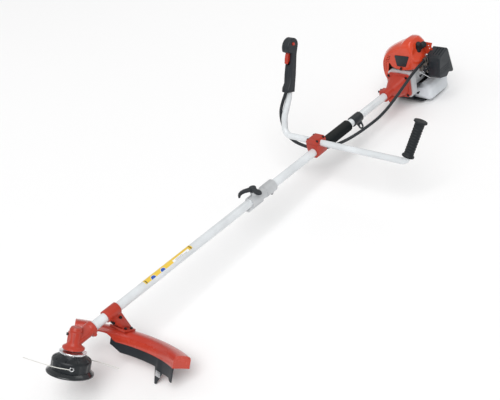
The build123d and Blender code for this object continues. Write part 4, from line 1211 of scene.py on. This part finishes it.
# ---------------------------------------------------------------- muffler
# A pressed steel box on the right of the cylinder, dulled by heat, with a short outlet.
heat_steel = finish("heat_dulled_steel", (0.22, 0.20, 0.18), 0.48, rub=(0.34, 0.28, 0.20), rub_amount=0.6,
                    dust=0.10, grain=260.0, depth=0.25, metallic=0.9)
silencer = refined("muffler", "muffler_shell", width=0.8)
paint_with(silencer, heat_steel)
fit(silencer, "power_unit", "muffler")


# ---------------------------------------------------------------- carburettor
# A die-cast carburettor with its pump cover, screws and the cable stop that the conduit
# ends in.
carb = refined("carburettor", "carburettor_body", width=0.9)
weld(carb, bar_of("pump", (76, 1678, 36.2), (76, 1678, 40), 14.0, tip=1.0),
     slab_sideways("cover", box_corners(26, 26, 4, x=1678, y=56), 60, 62))
rounded(carb, 0.3, segments=2, angle=45)
paint_with(carb, heat_steel)
fit(carb, "power_unit", "carburettor")
rods = joined(
    bar_of("idle_screw", (86, 1659, 64), (100, 1640, 62), 1.6, steps=16),
    bar_of("screw_head", (98, 1643, 62.3), (102, 1637, 61.7), 3.4, steps=24, tip=0.6),
    bar_of("stay", (70, 1642, 44), (104, 1657, 18), 2.2, steps=16),
    bar_of("cover_bolt", (86, 1658, 50), (90, 1650, 49), 4.2, steps=24, tip=0.8),
    bar_of("cover_bolt", (78, 1658, 44), (82, 1650, 43), 3.4, steps=24, tip=0.8),
)
rods.name = "carburettor_rods"
paint_with(rods, bright_steel)
fit(rods, "power_unit", slot="steel")


# ---------------------------------------------------------------- air filter
# A black moulded filter case: the base on the carburettor and a deep cover with a raised
# panel, a grooved top and a clip, which pulls straight off.
base = refined("air_filter_base", "filter_base_moulding", width=0.8)
cut(base, slab_sideways("front", [(1630, 66), (1667, 66), (1667, 125), (1630, 125)], 90, 107),
    slab_sideways("front", [(1630, 0), (1667, 0), (1667, 53), (1630, 53)], 90, 107))
paint_with(base, black_moulding)
fit(base, "power_unit", "air_filter_base")
filter_cover = refined("air_filter_cover", "filter_cover_moulding", width=0)
groove = joined(*[
    slab_sideways("groove", [(1668, 105.0), (1706, 115.0), (1705, 121), (1667, 110)], x, x + 5)
    for x in (116, 127, 138)
])
rib_cuts = [
    slab_sideways("rib", [(1650, z), (1708, z), (1708, z + 1.6), (1650, z + 1.6)], 151.2, 153)
    for z in (44, 52, 60)
]
cut(filter_cover, groove, *rib_cuts)
rounded(filter_cover, 0.9, segments=2, angle=30)
paint_with(filter_cover, black_moulding)
fit(filter_cover, "air_filter_cover", "air_filter_cover")
choke = refined("choke_lever", "choke_lever_moulding", width=0.5)
paint_with(choke, black_moulding)
fit(choke, "choke_lever", "choke_lever")


# ---------------------------------------------------------------- fuel tank
# A blow-moulded natural polyethylene tank, milky and translucent, with soft corners, a
# parting line round its middle and a threaded neck under a ribbed black cap.
milky = finish("milky_polyethylene", (0.85, 0.89, 0.93), 0.34, rub=(0.86, 0.88, 0.90), rub_amount=0.3,
               dust=0.05, grain=300.0, depth=0.10)
milky.node_tree.nodes["Principled BSDF"].inputs["Transmission Weight"].default_value = 0.25
milky.node_tree.nodes["Principled BSDF"].inputs["Subsurface Weight"].default_value = 0.0
tank = refined("fuel_tank", "fuel_tank_moulding", width=0)
only(tank)
bpy.ops.object.shade_smooth_by_angle(angle=math.radians(40))
paint_with(tank, milky)
fit(tank, "power_unit", "fuel_tank")
fuel_lid = refined("fuel_cap", "fuel_cap_moulding", width=0.6)
flutes = [
    bar_of("flute", (-70 + 16.8 * math.cos(a), 1765 + 16.8 * math.sin(a), -21.5),
           (-70 + 16.8 * math.cos(a), 1765 + 16.8 * math.sin(a), -9.4), 1.8, steps=16)
    for a in (2 * math.pi * k / 16 for k in range(16))
]
cut(fuel_lid, joined(*flutes))
rounded(fuel_lid, 0.25, segments=2, angle=45)
paint_with(fuel_lid, black_moulding)
fit(fuel_lid, "fuel_cap", "fuel_cap")


# ---------------------------------------------------------------- engine foot
# A black moulded stand under the tank, with a stepped front edge and two pockets.
foot = refined("engine_foot", "engine_stand", width=1.6)
paint_with(foot, black_moulding)
fit(foot, "power_unit", "engine_foot")


# ---------------------------------------------------------------- recoil starter
# A black moulded housing with radial air slots, its rope pulley inside, and a T-shaped
# handle on a braided rope that pulls out to the left.
recoil = refined("recoil_housing", "recoil_starter_cover", width=1.0)
paint_with(recoil, black_moulding)
fit(recoil, "power_unit", "recoil_housing")
pull = refined("starter_handle", "starter_grip", width=2.4)
paint_with(pull, black_moulding)
fit(pull, "starter_handle", "starter_handle")
rope = turned("starter_rope", [(0, 0), (1.8, 0), (1.8, 17), (0, 17)], steps=20)
settle(rope, along((40, 1760, 25), (1, 0, 0)))
rope_weave = finish("braided_rope", (0.55, 0.53, 0.48), 0.8, rub=(0.7, 0.7, 0.68), rub_amount=0.3, dust=0.1,
                    grain=1800.0, depth=0.6)
paint_with(rope, rope_weave)
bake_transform(rope)


# ---------------------------------------------------------------- pieces inside
# What the housings hide keeps its shape and takes the finish of its own metal or plastic.
turned_steel = finish("turned_steel", (0.50, 0.50, 0.52), 0.30, rub=(0.7, 0.7, 0.7), rub_amount=0.3, dust=0.0,
                      grain=1400.0, depth=0.12, metallic=1.0)
inside = {
    "output_spindle": turned_steel, "lower_drive_shaft": turned_steel, "upper_drive_shaft": turned_steel,
    "clutch_drum": turned_steel, "clutch_shoes": turned_steel, "crankshaft": turned_steel,
    "gear_head_bearings": bright_steel, "throttle_lever": bright_steel, "spark_plug": bright_steel,
    "flywheel": cast_grey, "piston": cast_grey, "lower_bushes": black_nylon, "upper_bushes": black_nylon,
    "line_spool": black_nylon, "recoil_pulley": black_moulding,
}
for node, material in inside.items():
    paint_with(frame["nodes"][node], material)
